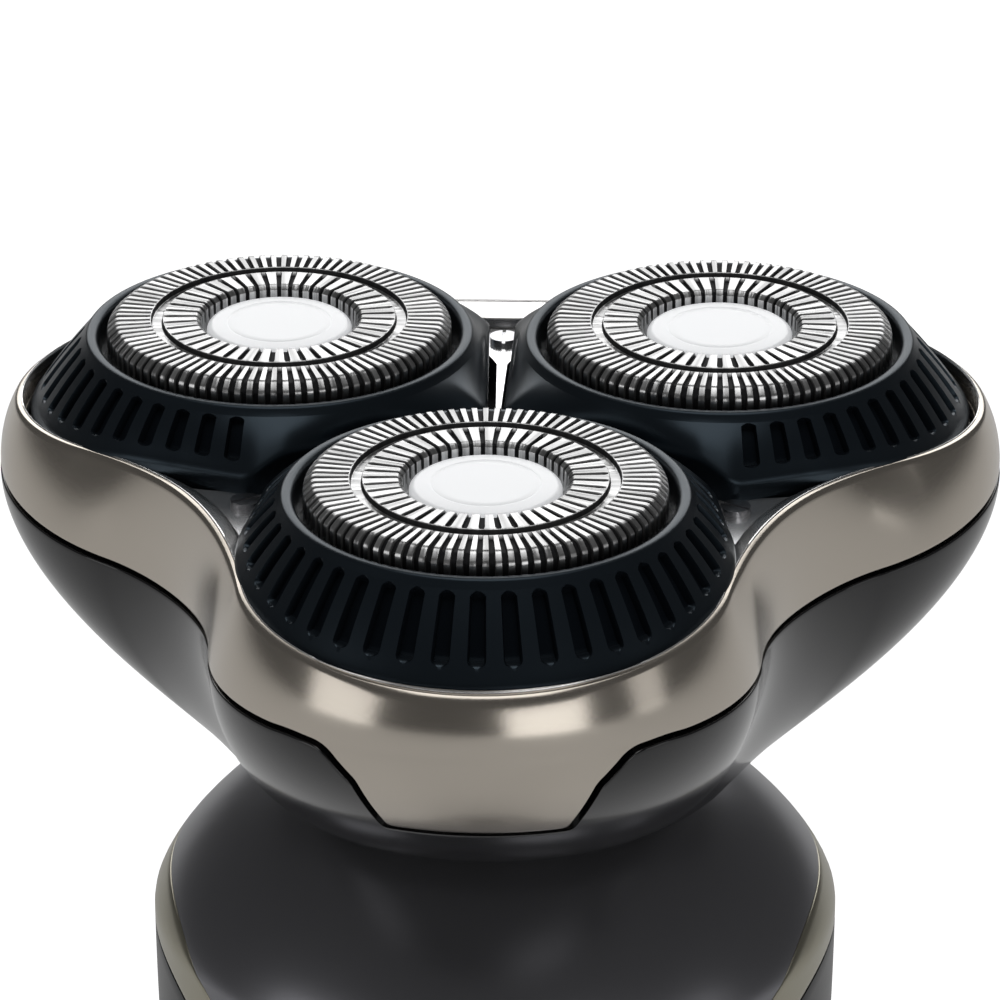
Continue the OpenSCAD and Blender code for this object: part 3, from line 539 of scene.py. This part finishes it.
# Floating petals, drawn along +X from the head's axis and turned into place.
petalShape = {
    "rimInner": 12.35, "lipR": 12.9, "lipZ": 157.0, "skirtR": 13.5, "skirtZ": 156.45,
    "circleR": 16.1, "circleOut": 1.27, "baseZ": 150.4, "edgeZ": (151.8, 1.9, 1.3),
    "half": 58.6, "planeOut": 14.29, "cornerTurn": 99.0, "cornerBlend": 0.6, "tangentR": 15.87,
    "wallTop": 151.3, "holeR": 13.05, "colour": (0.0045, 0.0062, 0.0085), "rough": 0.33,
    "slots": 29, "pitch": 8.0, "slotHalf": 1.7, "slotDepth": 0.6, "slotFrom": 0.012, "slotTo": 0.85,
}


def fromOut(ph):  # degrees from the outward direction, either way round
    return np.abs(((ph + 180) % 360) - 180)


# Outline of a petal round its ring's axis: the base circle, then its tangent, cut by the plane between
# two petals.
def petalOutline(ph):
    p = petalShape
    a = fromOut(ph)
    circle = p["circleOut"] * np.cos(np.radians(a)) + np.sqrt(
        p["circleR"] ** 2 - (p["circleOut"] * np.sin(np.radians(a))) ** 2)
    tangent = p["tangentR"] / np.cos(np.radians(np.clip(a - p["cornerTurn"], 0, 60)))
    outer = np.where(a > p["cornerTurn"], np.maximum(circle, tangent), circle)
    plane = p["planeOut"] / np.maximum(np.sin(np.radians(np.clip(a - p["half"], 1, 179))), 0.05)
    k = p["cornerBlend"]
    mix = np.clip(0.5 + 0.5 * (plane - outer) / k, 0, 1)
    return plane * (1 - mix) + outer * mix - k * mix * (1 - mix)


# Height of a petal's outer edge: it rises round to the sides, and again at the inner corners.
def petalEdge(ph):
    low, side, inner = petalShape["edgeZ"]
    a = fromOut(ph)
    return low + side * smoothStep((a - 35) / 60) + inner * smoothStep((a - 114) / 12)


# Satin rubber with painted shade in the slots: duller and darker there through a lower specular level.
def rubberMaterial():
    p = petalShape
    material = grainMaterial("petalRubber", p["colour"], p["rough"], scale=2000.0, depth=0.03)
    tree = material.node_tree
    shader = tree.nodes["Principled BSDF"]
    shader.inputs["Specular Tint"].default_value = (0.62, 0.82, 1.0, 1)
    floor = addNode(tree, "ShaderNodeAttribute", attribute_name="slotShade")
    shine = addNode(tree, "ShaderNodeMath", operation="MULTIPLY_ADD", in_1=-0.46)
    shine.inputs[2].default_value = 0.5
    tree.links.new(floor.outputs["Fac"], shine.inputs[0])
    tree.links.new(shine.outputs[0], shader.inputs["Specular IOR Level"])
    return material


petalRubber = rubberMaterial()


# Petal: a grid of directions by rows. The rows go up inside the hole, over the lip, down the skirt with its
# slots sunk along the skirt's normal, round the edge, down the wall and back under to the hole.
def buildPetal(index):
    p = petalShape
    edgeTurn = p["pitch"] * p["slots"] / 2
    # columns: a fixed part, a share of the slot's own half width, and whether the column is in the slot
    base = [(-4.0, 0, 0), (-2.9, 0, 0), (-0.4, -1, 0), (0, -1, 1), (0, -0.5, 1), (0, 0, 1),
            (0, 0.5, 1), (0, 1, 1), (0.4, 1, 0), (2.9, 0, 0)]
    slotTurns = (np.arange(p["slots"]) - (p["slots"] - 1) / 2) * p["pitch"]
    plain = np.linspace(edgeTurn, 360 - edgeTurn, 88)[:-1]
    fixed = np.concatenate([(slotTurns[:, None] + [c[0] for c in base]).ravel(), plain])
    share = np.concatenate([np.tile([c[1] for c in base], p["slots"]), 0 * plain])
    inSlot = np.concatenate([np.tile([c[2] for c in base], p["slots"]), 0 * plain])
    cols = len(fixed)
    lip = roundedPath([[p["rimInner"], p["wallTop"], 0], [p["rimInner"], p["lipZ"], 0.42],
                       [p["lipR"] + 0.22, p["lipZ"], 0.35], [p["skirtR"], p["skirtZ"], 0]], 7)
    # s is the share of the way down the skirt
    s = np.concatenate([np.linspace(0, p["slotFrom"], 3)[1:], p["slotFrom"] + 0.03 * np.arange(1, 4),
                        np.linspace(0.17, 0.7, 9), p["slotTo"] - 0.03 * np.arange(3, -1, -1), [0.9, 0.97]])
    tip = 0.09  # rounded end of a slot
    wide = np.sqrt(np.clip(1 - (np.clip(s - (p["slotTo"] - tip), 0, 1) / tip) ** 2, 0, 1))
    wide = np.minimum(wide, np.sqrt(np.clip((s - p["slotFrom"]) / 0.06, 0, 1)))
    narrow = 0.12  # least share of the width that a slot's columns keep
    halfWidth = p["slotHalf"] * np.clip(wide, narrow, 1)
    deep = p["slotDepth"] * smoothStep((s - p["slotFrom"]) / 0.05) * smoothStep((p["slotTo"] - s) / 0.12)
    rows = [polar(r, fixed + share * p["slotHalf"] * narrow, z) for r, z in lip]
    slotShadeRows = [0 * fixed for _ in lip]
    for i, si in enumerate(s):
        ph = fixed + share * halfWidth[i]
        edgeR, edgeZ = petalOutline(ph), petalEdge(ph)
        bulge = 0.1 * math.sin(math.pi * si)
        r0, z0, r1, z1 = p["skirtR"], p["skirtZ"], edgeR - 0.25, edgeZ
        length = np.hypot(r1 - r0, z1 - z0)
        nr, nz = (z0 - z1) / length, (r1 - r0) / length
        sink = deep[i] * inSlot - bulge
        rows.append(polar(r0 + (r1 - r0) * si - nr * sink, ph, z0 + (z1 - z0) * si - nz * sink))
        # painted shade: the deep part of each slot is marked so that the rubber loses its shine there
        slotShadeRows.append(inSlot * (deep[i] > 0.3))
    edgeR, edgeZ = petalOutline(ph), petalEdge(ph)
    for inset, drop in [(0.2, 0.06), (0.09, 0.2), (0.02, 0.38), (0.0, 0.55)]:  # rounded edge
        rows.append(polar(edgeR - inset, ph, edgeZ - drop))
    wallZ, bottom = edgeZ - 0.55, p["baseZ"] - 0.1
    rows += [polar(edgeR - 0.12 * w, ph, wallZ + (bottom - wallZ) * w) for w in (0.5, 1.0)]
    rows.append(polar(p["holeR"], ph, bottom))
    slotShadeRows += [0 * ph for _ in rows[len(slotShadeRows):]]
    grid = np.stack(rows)
    grid[..., 0] += ringOut
    name = f"petal_{index + 1}"
    return makePiece(f"petalShell{index + 1}", turned(grid.reshape(-1, 3), ringTurns[index]),
                     gridFaces(len(rows), cols, True, True), petalRubber, f"floating_head_{index + 1}",
                     [name], {"slotShade": np.stack(slotShadeRows)}, smooth=40)


for number in range(3):
    buildPetal(number)
print("petals built")


# Cutting rings: heights are from the cutting plane, half widths of the slots are in degrees.
foilShape = {
    "slots": 90, "slotHalf": 0.78, "innerHalf": 1.35, "slotDepth": 0.22,
    "recess": 5.3, "recessZ": -1.7, "innerEdge": 5.65, "groove": (7.95, 8.72), "grooveDepth": 0.4,
    "flatTo": 11.1, "outer": 11.75, "flange": 12.7, "flangeZ": -3.8, "foot": -4.5, "floor": -2.4,
    "boreR": 11.25, "hubR": 5.95, "underZ": -0.66,                                # hollow under the top
    "outerFrom": 8.98, "wallTo": -1.75,                                           # reach of the outer slots
    "innerFrom": 5.2, "innerTo": 7.72, "innerLow": -1.1,                          # reach of the inner slots
}


# Section of a cutting ring, from the sunk middle out over the top, down the wall and back inside the hollow.
def foilSection():
    f = foilShape
    near, far, deep = f["groove"][0], f["groove"][1], -f["grooveDepth"]
    corners = [
        [4.7, f["recessZ"], 0], [f["recess"], f["recessZ"], 0.2], [f["recess"] + 0.05, -0.3, 0.1],
        [f["innerEdge"], 0, 0.25], [near, 0, 0.08], [near + 0.04, deep, 0.08], [far - 0.04, deep, 0.08],
        [far, 0, 0.08], [f["flatTo"], 0, 0.6], [f["outer"], -0.6, 0.5], [f["outer"], f["flangeZ"], 0.1],
        [f["flange"], f["flangeZ"], 0.1], [f["flange"], f["foot"], 0.1], [f["boreR"], f["foot"], 0.1],
        [f["boreR"], f["underZ"], 0.1], [f["hubR"], f["underZ"], 0.1], [f["hubR"], f["floor"], 0]]
    return fillPath(roundedPath(corners, 5), 0.3)


# Cutting ring: the section turned round its axis; columns sunk along the section's normal are its slots.
def buildFoil(index):
    f = foilShape
    profile = foilSection()
    r, z = profile[:, 0], profile[:, 1]
    slope = np.gradient(profile, axis=0)
    slope = np.abs(slope / np.hypot(*slope.T)[:, None])
    shown = np.arange(len(r)) < np.argmax(z < f["foot"] + 0.2)
    outside = shown & (r > f["outerFrom"]) & (z > f["wallTo"]) & (r < f["outer"] + 0.01)
    inside = shown & (r > f["innerFrom"]) & (r < f["innerTo"]) & (z > f["innerLow"])
    # columns: six to a slot's pitch; inner slots take every second pitch
    pitch = 360 / f["slots"]
    centres = np.arange(f["slots"]) * pitch
    kinds = np.array([(-2.0, 0, 0), (-0.28, -1, 0), (0, -1, 1), (0, 0, 1), (0, 1, 1), (0.28, 1, 0)])
    fixed = (centres[:, None] + kinds[:, 0]).ravel()
    share, inSlot = np.tile(kinds[:, 1], f["slots"]), np.tile(kinds[:, 2], f["slots"])
    even = np.repeat(np.arange(f["slots"]) % 2 == 0, len(kinds))
    half = np.where(inside[:, None] & even[None, :], f["innerHalf"] - 0.06, f["slotHalf"])
    th = fixed[None, :] + share[None, :] * half
    opened = inSlot[None, :] * (outside[:, None] | (inside[:, None] & even[None, :]))
    sink = f["slotDepth"] * opened
    out = r[:, None] - sink * slope[:, 1:] * np.where(outside, 1, -1)[:, None]
    grid = polar(out, th, cutZ + z[:, None] - sink * slope[:, :1])
    grid[..., 0] += ringOut
    rows, cols = len(profile), len(fixed)
    ends = np.array([[ringOut, 0, cutZ + f["recessZ"]], [ringOut, 0, cutZ + f["floor"]]])
    points = turned(np.concatenate([grid.reshape(-1, 3), ends]), ringTurns[index])
    faces = gridFaces(rows, cols) + capFaces(0, cols, rows * cols, True)
    faces += capFaces((rows - 1) * cols, cols, rows * cols + 1, False)
    # painted shade: the slot floors and the groove's walls are marked here to be darkened by the steel
    grooveWall = (np.abs(r - f["groove"][0]) < 0.08) | (np.abs(r - f["groove"][1]) < 0.08)
    grooveWall &= (z < -0.03) & (z > 0.03 - f["grooveDepth"])
    shade = np.maximum(opened, grooveWall[:, None] * 0.9)
    floor = np.concatenate([shade.ravel(), [0, 0]])
    return makePiece(f"foilRing{index + 1}", points, faces, foilSteel[index], f"guard_{index + 1}",
                     [f"foil_{index + 1}"], {"slotShade": floor}, smooth=30)


capShape = {"r": 4.94, "topZ": -0.38, "lineR": 3.5, "shoulderR": 4.6, "low": -1.9}


# White centre cap, brightened by a painted glow: a shallow dome with one fine line round it.
def buildCap(index):
    c = capShape
    profile = fillPath(roundedPath([
        [0.3, c["topZ"], 0], [c["lineR"] - 0.1, c["topZ"] - 0.02, 0], [c["lineR"], c["topZ"] - 0.06, 0.05],
        [c["lineR"] + 0.12, c["topZ"] - 0.03, 0.05], [c["shoulderR"], c["topZ"] - 0.12, 0.4],
        [c["r"], c["topZ"] - 0.37, 0.3], [c["r"], c["low"], 0]], 5), 0.5)

    def place(points):
        return turned(points + [ringOut, 0, cutZ], ringTurns[index])

    return turnedPiece(f"centreCap{index + 1}", profile, 96, paints["capWhiteGlow"], f"guard_{index + 1}",
                       [f"foil_cap_{index + 1}"], place)


for number in range(3):
    buildFoil(number)
    buildCap(number)
print("cutting rings built")


# Handle: a trim line is (half depth, rise, squareness).
handleShape = {
    "shoulderTop": (10.39, 129.94), "shoulderR": 23.65, "shoulderDrop": 11.32, "shoulderK": 1.36,
    "shoulderZ": 118.62, "gripR": 20.4, "baseH": 9.0, "neckT": 21.0,
    "upperLine": (17.6, 13.0, 2.8), "lowerLine": (15.4, 9.4, 2.8), "lineZ": 108.0, "lean": 4 / 113,
    "buttonZ": 80.0, "buttonHole": 7.7, "gap": 0.06, "wall": 1.2, "rearWall": 1.3, "edge": 0.12,
}


# Handle's radius from front to back at a height: grip below, shoulder curve above its widest height.
def handleRadius(z):
    h = handleShape
    grip = h["gripR"] + (h["shoulderR"] - h["gripR"]) * smoothStep((z - 45) / (h["shoulderZ"] - 45))
    foot = 2.4 * (1 - np.sqrt(np.clip(1 - (np.clip(5 - z, 0, 5) / 5) ** 2, 0, 1)))
    rise = np.clip((z - h["shoulderZ"]) / h["shoulderDrop"], 0, 1)
    cosT = rise ** (h["shoulderK"] / 2)
    neck = h["shoulderTop"][0]
    top = neck + (h["shoulderR"] - neck) * (1 - cosT ** 2) ** (1 / h["shoulderK"])
    return np.where(z > h["shoulderZ"], top, grip - foot)


def depthShare(z):
    return 1 - 0.06 * smoothStep((110 - z) / 70)


def handlePoint(ph, z, lift=0.0):
    ph, z = np.broadcast_arrays(ph, z)
    r = handleRadius(z) + lift
    return np.stack([r * np.cos(np.radians(ph)), r * np.sin(np.radians(ph)) * depthShare(z), z], -1)


# Height as a smooth measure from the neck opening down, even along the shoulder's curve.
def shoulderLadder():
    t = np.radians(np.linspace(handleShape["neckT"], 90, 40))
    h = handleShape
    return h["shoulderZ"] + h["shoulderDrop"] * np.cos(t) ** (2 / h["shoulderK"])


# Where a trim line crosses the handle, as [direction, height] on the right side, from the back to the foot.
def trimLine(line, foot):
    depth, rise, square = line
    h = handleShape
    s = np.radians(np.linspace(0, 90, 60))
    y = -depth * np.sin(s) ** (2 / square)
    z = h["lineZ"] + rise * np.cos(s) ** (2 / square)
    zDown = np.linspace(h["lineZ"], foot, 70)[1:]
    y, z = np.concatenate([y, (h["lineZ"] - zDown) * h["lean"] - depth]), np.concatenate([z, zDown])
    ph = np.degrees(np.arcsin(np.clip(y / (handleRadius(z) * depthShare(z)), -1, 1)))
    back = np.linspace(90, ph[0], 30)[:-1]
    return np.concatenate([back, ph]), np.concatenate([np.full(29, z[0]), z])


def mirrored(ph, z):  # the right side's stations, then the left side's going back again
    return np.concatenate([ph[::-1], (180 - ph)[1:]]), np.concatenate([z[::-1], z[1:]])


# Adds inward thickness and a small round on the edges of an open patch.
def thicken(piece, thickness, edge):
    solid = piece.modifiers.new("thickness", "SOLIDIFY")
    solid.thickness = thickness * mm
    solid.offset = -1
    bevel = piece.modifiers.new("edge", "BEVEL")
    bevel.width = edge * mm
    bevel.segments = 2
    bevel.limit_method = "ANGLE"
    bevel.angle_limit = math.radians(55)


# Direction of a trim line at a height below the level where it turns down.
def lineTurn(line, z):
    h = handleShape
    z = np.minimum(z, h["lineZ"])
    y = (h["lineZ"] - z) * h["lean"] - line[0]
    return np.degrees(np.arcsin(y / (handleRadius(z) * depthShare(z))))


# Upper grid: from the neck opening down to the trim line, all the way round. Lower grid: the front only,
# from there to the foot, its sides on the trim lines.
def buildFrontPanel():
    h = handleShape
    ladder = shoulderLadder()
    phLine, zLine = trimLine(h["upperLine"], h["lineZ"] - 1)
    keep = zLine >= h["lineZ"]
    phLine, zLine = phLine[keep], zLine[keep]
    side = float(lineTurn(h["upperLine"], np.array(h["lineZ"])))
    front = np.linspace(side, -180 - side, 81)[1:-1]
    ph = np.concatenate([phLine, front, (-180 - phLine[::-1])[:-1]])
    low = np.concatenate([zLine, np.full(79, h["lineZ"]), zLine[::-1][:-1]])
    ph, low = ph[::-1], low[::-1] + h["gap"] * (low[::-1] > h["lineZ"])
    start = np.maximum(low, h["shoulderZ"])
    share = (ladder[0] - ladder) / (ladder[0] - ladder[-1])
    upper = ladder[0] - share[:, None] * (ladder[0] - start)[None, :]
    drop = np.minimum(low, start - 0.02) - start
    lower = start[None, :] + drop[None, :] * np.linspace(0, 1, 10)[1:, None]
    z = np.concatenate([upper, lower])
    grid = handlePoint(ph[None, :], z)
    rows, cols = z.shape
    topFaces = np.array(gridFaces(rows, cols))
    first = len(phLine) - 1
    wide = np.arange(first, first + 81)  # columns that go on down to the foot
    zDown = np.linspace(h["lineZ"], h["baseH"] + 0.05, 101)[1:]
    squeeze = (lineTurn(h["upperLine"], zDown) + 90) / (side + 90)
    phDown = -90 + (ph[wide][None, :] + 90) * squeeze[:, None]
    foot = handlePoint(phDown, zDown[:, None])
    below = rows * cols + np.arange(len(zDown) * 81).reshape(-1, 81)
    ids = np.concatenate([((rows - 1) * cols + wide)[None, :], below])
    a, b, c, d = ids[:-1, :-1], ids[:-1, 1:], ids[1:, 1:], ids[1:, :-1]
    frontFaces = np.stack([a, d, c, b], -1).reshape(-1, 4)
    spots = np.concatenate([grid.reshape(-1, 3), foot.reshape(-1, 3)])
    # a block of faces round the button gives way to rings of faces that end on the round hole
    cell = spots[ids[:-1, :-1]] / 2 + spots[ids[1:, 1:]] / 2
    reach = h["buttonHole"] + 1.5
    block = (np.abs(cell[..., 0]) < reach) & (np.abs(cell[..., 2] - h["buttonZ"]) < reach)
    line, jump = np.nonzero(block)
    i0, i1, j0, j1 = line.min(), line.max() + 1, jump.min(), jump.max() + 1
    block[:] = False
    block[i0:i1, j0:j1] = True
    loopIds = np.concatenate([ids[i1:i0:-1, j1], ids[i0, j1:j0:-1], ids[i0:i1, j0], ids[i1, j0:j1]])
    edge = spots[loopIds]
    angle = np.arctan2(edge[:, 2] - h["buttonZ"], edge[:, 0])
    hole = np.stack([h["buttonHole"] * np.cos(angle), h["buttonZ"] + h["buttonHole"] * np.sin(angle)], -1)
    flat = edge[:, [0, 2]]
    rings = [flat + (hole - flat) * w for w in (0.3, 0.6, 0.85, 1.0)]
    fill = []
    for ring in rings:
        r = handleRadius(ring[:, 1])
        y = -np.sqrt(r ** 2 - ring[:, 0] ** 2) * depthShare(ring[:, 1])
        fill.append(np.stack([ring[:, 0], y, ring[:, 1]], -1))
    n = len(loopIds)
    steps = [loopIds] + [len(spots) + k * n + np.arange(n) for k in range(4)]
    extra = []
    for outer, inner in zip(steps[:-1], steps[1:]):
        extra += np.stack([outer, np.roll(outer, -1), np.roll(inner, -1), inner], -1).tolist()
    points = np.concatenate([spots] + fill)
    allFaces = np.concatenate([topFaces, frontFaces[~block.ravel()], np.array(extra)])
    used = np.unique(allFaces)
    newId = np.full(len(points), -1)
    newId[used] = np.arange(len(used))
    piece = makePiece("frontPanel", points[used], newId[allFaces].tolist(), paints["panelGunmetal"], "handle",
                      ["front_panel"], smooth=60)
    thicken(piece, h["wall"], h["edge"])


# Bronze trim: straight across between its two lines, from the right foot round the back to the left foot.
def buildTrim():
    h = handleShape
    ph0, z0 = mirrored(*trimLine(h["upperLine"], h["baseH"] + 0.1))
    ph1, z1 = mirrored(*trimLine(h["lowerLine"], h["baseH"] + 0.1))
    z0, z1 = z0 - h["gap"], z1 + h["gap"]
    w = np.linspace(0, 1, 8)[:, None]
    grid = handlePoint(ph0 + (ph1 - ph0) * w, z0 + (z1 - z0) * w)
    piece = makePiece("trimStrip", grid.reshape(-1, 3), gridFaces(8, len(ph0), False), paints["trimBronze"],
                      "handle", ["trim_frame"], smooth=60)
    thicken(piece, h["wall"], h["edge"])


# Rear shell: columns squeezed between the trim's lower lines at each height, rows down to the foot.
def buildRearShell():
    h = handleShape
    ph, z = trimLine(h["lowerLine"], h["lineZ"] - 1)
    keep = z >= h["lineZ"]
    ph, z = mirrored(ph[keep], z[keep] - h["gap"])
    level = z[None, :] + (h["baseH"] + 0.05 - z)[None, :] * np.linspace(0, 1, 100)[:, None]
    turn = lineTurn(h["lowerLine"], level)
    side = lineTurn(h["lowerLine"], np.array(h["lineZ"]))
    grid = handlePoint(90 + (ph[None, :] - 90) * (90 - turn) / (90 - side), level)
    piece = makePiece("rearShell", grid.reshape(-1, 3), gridFaces(100, len(ph), False), paints["shellBlack"],
                      "handle", ["rear_shell"], smooth=60)
    thicken(piece, h["rearWall"], h["edge"])


baseShape = {"top": 8.86, "roundZ": 5, "roundDrop": 4.6, "lift": 0.05, "wall": 0.6}


# Skin round the base cap's side, over the cap itself, which keeps its socket and screw holes.
def buildBaseSkin():
    b = baseShape
    curve = b["roundZ"] - b["roundDrop"] * np.sin(np.linspace(0.08, 1.35, 16))
    straight = np.linspace(b["top"] - 0.26, b["roundZ"], 8)
    z = np.concatenate([[b["top"], b["top"] - 0.06], straight, curve])[:, None]
    lift = np.full(z.shape, b["lift"])
    lift[0] -= 0.07
    ph = evenTurns(240)[None, :]
    grid = np.concatenate([handlePoint(ph, z, lift), handlePoint(ph, z, lift - b["wall"])[::-1]])
    faces = gridFaces(len(grid), 240, True, True)
    makePiece("baseSkin", grid.reshape(-1, 3), faces, paints["shellBlack"], "handle", (),
              smooth=50)


def onFace(points):  # turns a piece made round +Z so that it faces the front at the button's height
    x, y, z = np.asarray(points).T
    return np.stack([x, -z, y + handleShape["buttonZ"]], -1)


buttonShape = {
    "bezelInner": 6.1, "bezelOuter": 7.6, "bezelRise": 0.42, "bezelDepth": 3.5, "capR": 6.0, "capDepth": 2.4,
}


# Power button: a bright bezel, and a cap with a shallow dish. Heights are from the handle's face.
def buildButton():
    b = buttonShape
    face = float(handleRadius(np.array(handleShape["buttonZ"])) * depthShare(handleShape["buttonZ"]))
    ring = roundedPath([
        [b["bezelInner"], face - b["bezelDepth"], 0], [b["bezelInner"], face + b["bezelRise"] - 0.04, 0.15],
        [b["bezelInner"] + 0.6, face + b["bezelRise"], 0.3], [b["bezelOuter"], face - 0.3, 0.35],
        [b["bezelOuter"], face - b["bezelDepth"], 0]], 7)
    t = np.radians(evenTurns(128))[None, :]
    r, z = ring[:, :1], ring[:, 1:]
    grid = np.stack([r * np.cos(t), r * np.sin(t), z + 0 * t], -1)
    faces = gridFaces(len(ring), 128, True, True)
    makePiece("buttonBezel", onFace(grid.reshape(-1, 3)), faces, paints["lipChrome"], "handle",
              ["button_bezel"])
    dish = roundedPath([
        [0.2, face + 0.32, 0], [b["capR"] / 2, face + 0.36, 3], [b["capR"] - 0.8, face + 0.58, 0.8],
        [b["capR"], face + 0.3, 0.4], [b["capR"], face - b["capDepth"], 0]], 7)
    turnedPiece("buttonCap", fillPath(dish, 0.5), 96, paints["shellBlack"], "power_button", ["button_cap"],
                onFace)


windowShape = {"half": 7.4, "low": 48.1, "high": 67.9, "power": 8.0, "lift": 0.07}


# Display window: a rounded square laid on the handle's front, slightly proud, with a rounded edge.
def buildWindow():
    w = windowShape
    t = np.radians(evenTurns(160))[None, :]
    squareX = np.sign(np.cos(t)) * np.abs(np.cos(t)) ** (2 / w["power"])
    squareZ = np.sign(np.sin(t)) * np.abs(np.sin(t)) ** (2 / w["power"])
    share = np.concatenate([np.linspace(0.05, 0.97, 16), [0.985, 0.995, 1.0, 1.0]])[:, None]
    lift = np.concatenate([np.full(16, w["lift"]), [0.065, 0.05, 0.02, -0.9]])[:, None]
    middle = (w["low"] + w["high"]) / 2
    x, z = w["half"] * share * squareX, middle + (w["high"] - w["low"]) / 2 * share * squareZ
    r = handleRadius(z) + lift
    grid = np.stack([x, -np.sqrt(r ** 2 - x ** 2) * depthShare(z), z], -1)
    face = -float(handleRadius(np.array(middle)) * depthShare(middle))
    ends = [[0, face - w["lift"], middle], [0, face + 0.9, middle]]
    points = np.concatenate([grid.reshape(-1, 3), ends])
    rows = len(share)
    faces = gridFaces(rows, 160) + capFaces(0, 160, rows * 160, True)
    faces += capFaces((rows - 1) * 160, 160, rows * 160 + 1, False)
    makePiece("displayWindow", points, faces, paints["displayBlack"], "handle", ["display_window"])


buildFrontPanel()
buildTrim()
buildRearShell()
buildBaseSkin()
buildButton()
buildWindow()
print("handle built")


# Finishes of the CAD pieces that stay.
keptFinishes = {
    "deckChrome": ["head_deck"],
    "screwSteel": ["deck_screws", "handle_screws", "plate_screws", "latch_catch", "hinge_pin",
                   "charge_socket"],
    "bowlGloss": ["hinge_block"],
    "shellBlack": ["base_cap", "neck_collar"],
    "sealRubber": ["neck_seal", "post_seals"],
    "innerPlastic": ["gear_plate", "gear_cover", "chassis", "socket_tongue", "button_switch", "motor_end_cap",
                     "display_board", "retainer_1", "retainer_2", "retainer_3"],
    "gearPlastic": ["central_gear", "drive_gear_1", "drive_gear_2", "drive_gear_3", "drive_coupler",
                    "cutter_carrier_1", "cutter_carrier_2", "cutter_carrier_3"],
    "motorSteel": ["motor_can", "motor_plate", "motor_shaft"],
    "copperWinding": ["motor_armature"],
    "batteryWrap": ["battery_cell"],
    "brassContact": ["battery_contacts"],
    "boardGreen": ["circuit_board"],
    "leadRed": ["motor_leads"],
}
for finish, members in keptFinishes.items():
    for member in members:
        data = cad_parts[member].data
        data.materials.clear()
        data.materials.append(paints[finish])
for number in range(3):
    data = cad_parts[f"cutter_{number + 1}"].data
    data.materials.clear()
    data.materials.append(bladeSteel[number])
print("CAD pieces painted")


# Softboxes are [width, height, distance, compass direction from the front, height of centre, radiance].
studio = {
    "air": 0.08, "floorGlow": 0.12, "floorView": 0.6, "floorHalf": 6,
    "rightFront": [0.9, 0.9, 1.5, 27, 0.36, 1.5],
    "leftFront": [0.8, 0.9, 1.5, -58, 0.36, 1.2],
    "rightSide": [0.4, 0.8, 1.5, 72, 0.36, 0.7],
    "behind": [1.7, 0.8, 1.5, 180, 0.85, 2.2],
    "overhead": [0.8, 0.8, 0.02, 0, 1.35, 1.8],
}


def softbox(name):
    width, height, away, compass, level, radiance = studio[name]
    light = bpy.data.lights.new(name, "AREA")
    light.shape, light.size, light.size_y = "RECTANGLE", width, height
    light.energy = radiance * math.pi * width * height
    lamp = bpy.data.objects.new(name, light)
    turn = math.radians(compass)
    lamp.location = (away * math.sin(turn), -away * math.cos(turn), level)
    lamp.rotation_euler = (Vector((0, 0, 0.15)) - lamp.location).to_track_quat("-Z", "Y").to_euler()
    bpy.context.scene.collection.objects.link(lamp)


def buildStudio():
    paper = bpy.data.materials.new("studioFloor")
    paper.use_nodes = True
    shader = paper.node_tree.nodes["Principled BSDF"]
    noise = addNode(paper.node_tree, "ShaderNodeTexNoise", in_Scale=3.0)
    tone = addNode(paper.node_tree, "ShaderNodeMapRange", in_To_Min=0.88, in_To_Max=0.92)
    paper.node_tree.links.new(noise.outputs["Fac"], tone.inputs["Value"])
    paper.node_tree.links.new(tone.outputs["Result"], shader.inputs["Base Color"])
    shader.inputs["Roughness"].default_value = 0.9
    shader.inputs["Emission Color"].default_value = (1, 1, 1, 1)
    path = addNode(paper.node_tree, "ShaderNodeLightPath")
    glow = addNode(paper.node_tree, "ShaderNodeMath", operation="MULTIPLY_ADD", in_1=studio["floorView"])
    glow.inputs[2].default_value = studio["floorGlow"]
    paper.node_tree.links.new(path.outputs["Is Camera Ray"], glow.inputs[0])
    paper.node_tree.links.new(glow.outputs[0], shader.inputs["Emission Strength"])
    far = studio["floorHalf"]
    mesh = bpy.data.meshes.new("floor")
    mesh.from_pydata([(-far, -far, 0), (far, -far, 0), (far, far, 0), (-far, far, 0)], [], [(0, 1, 2, 3)])
    mesh.materials.append(paper)
    plane = bpy.data.objects.new("floor", mesh)
    bpy.context.scene.collection.objects.link(plane)
    world = bpy.data.worlds.new("studioAir")
    world.use_nodes = True
    air = world.node_tree.nodes["Background"]
    air.inputs["Color"].default_value = (1, 1, 1, 1)
    air.inputs["Strength"].default_value = studio["air"]
    bpy.context.scene.world = world
    for name in ("rightFront", "leftFront", "rightSide", "behind", "overhead"):
        softbox(name)


viewerPlace = {
    "target": [0.338, 0, 148.404], "compass": 1.8866, "rise": 24.7249, "away": 391.504, "zoom": 5.805443,
}


def buildCamera():
    v = viewerPlace
    target = np.array(v["target"])
    a, e = math.radians(v["compass"]), math.radians(v["rise"])
    heading = np.array([math.sin(a) * math.cos(e), -math.cos(a) * math.cos(e), math.sin(e)])
    place = target + v["away"] * heading
    lens = bpy.data.cameras.new("viewer")
    lens.sensor_width, lens.lens = 36, 36 * v["zoom"]
    lens.clip_start, lens.clip_end = 0.01, 50
    viewer = bpy.data.objects.new("viewer", lens)
    viewer.location = Vector(place * mm)
    viewer.rotation_euler = (Vector(target * mm) - viewer.location).to_track_quat("-Z", "Y").to_euler()
    bpy.context.scene.collection.objects.link(viewer)
    bpy.context.scene.camera = viewer


buildStudio()
buildCamera()
bpy.context.scene.view_settings.view_transform = "Standard"
print("studio built")
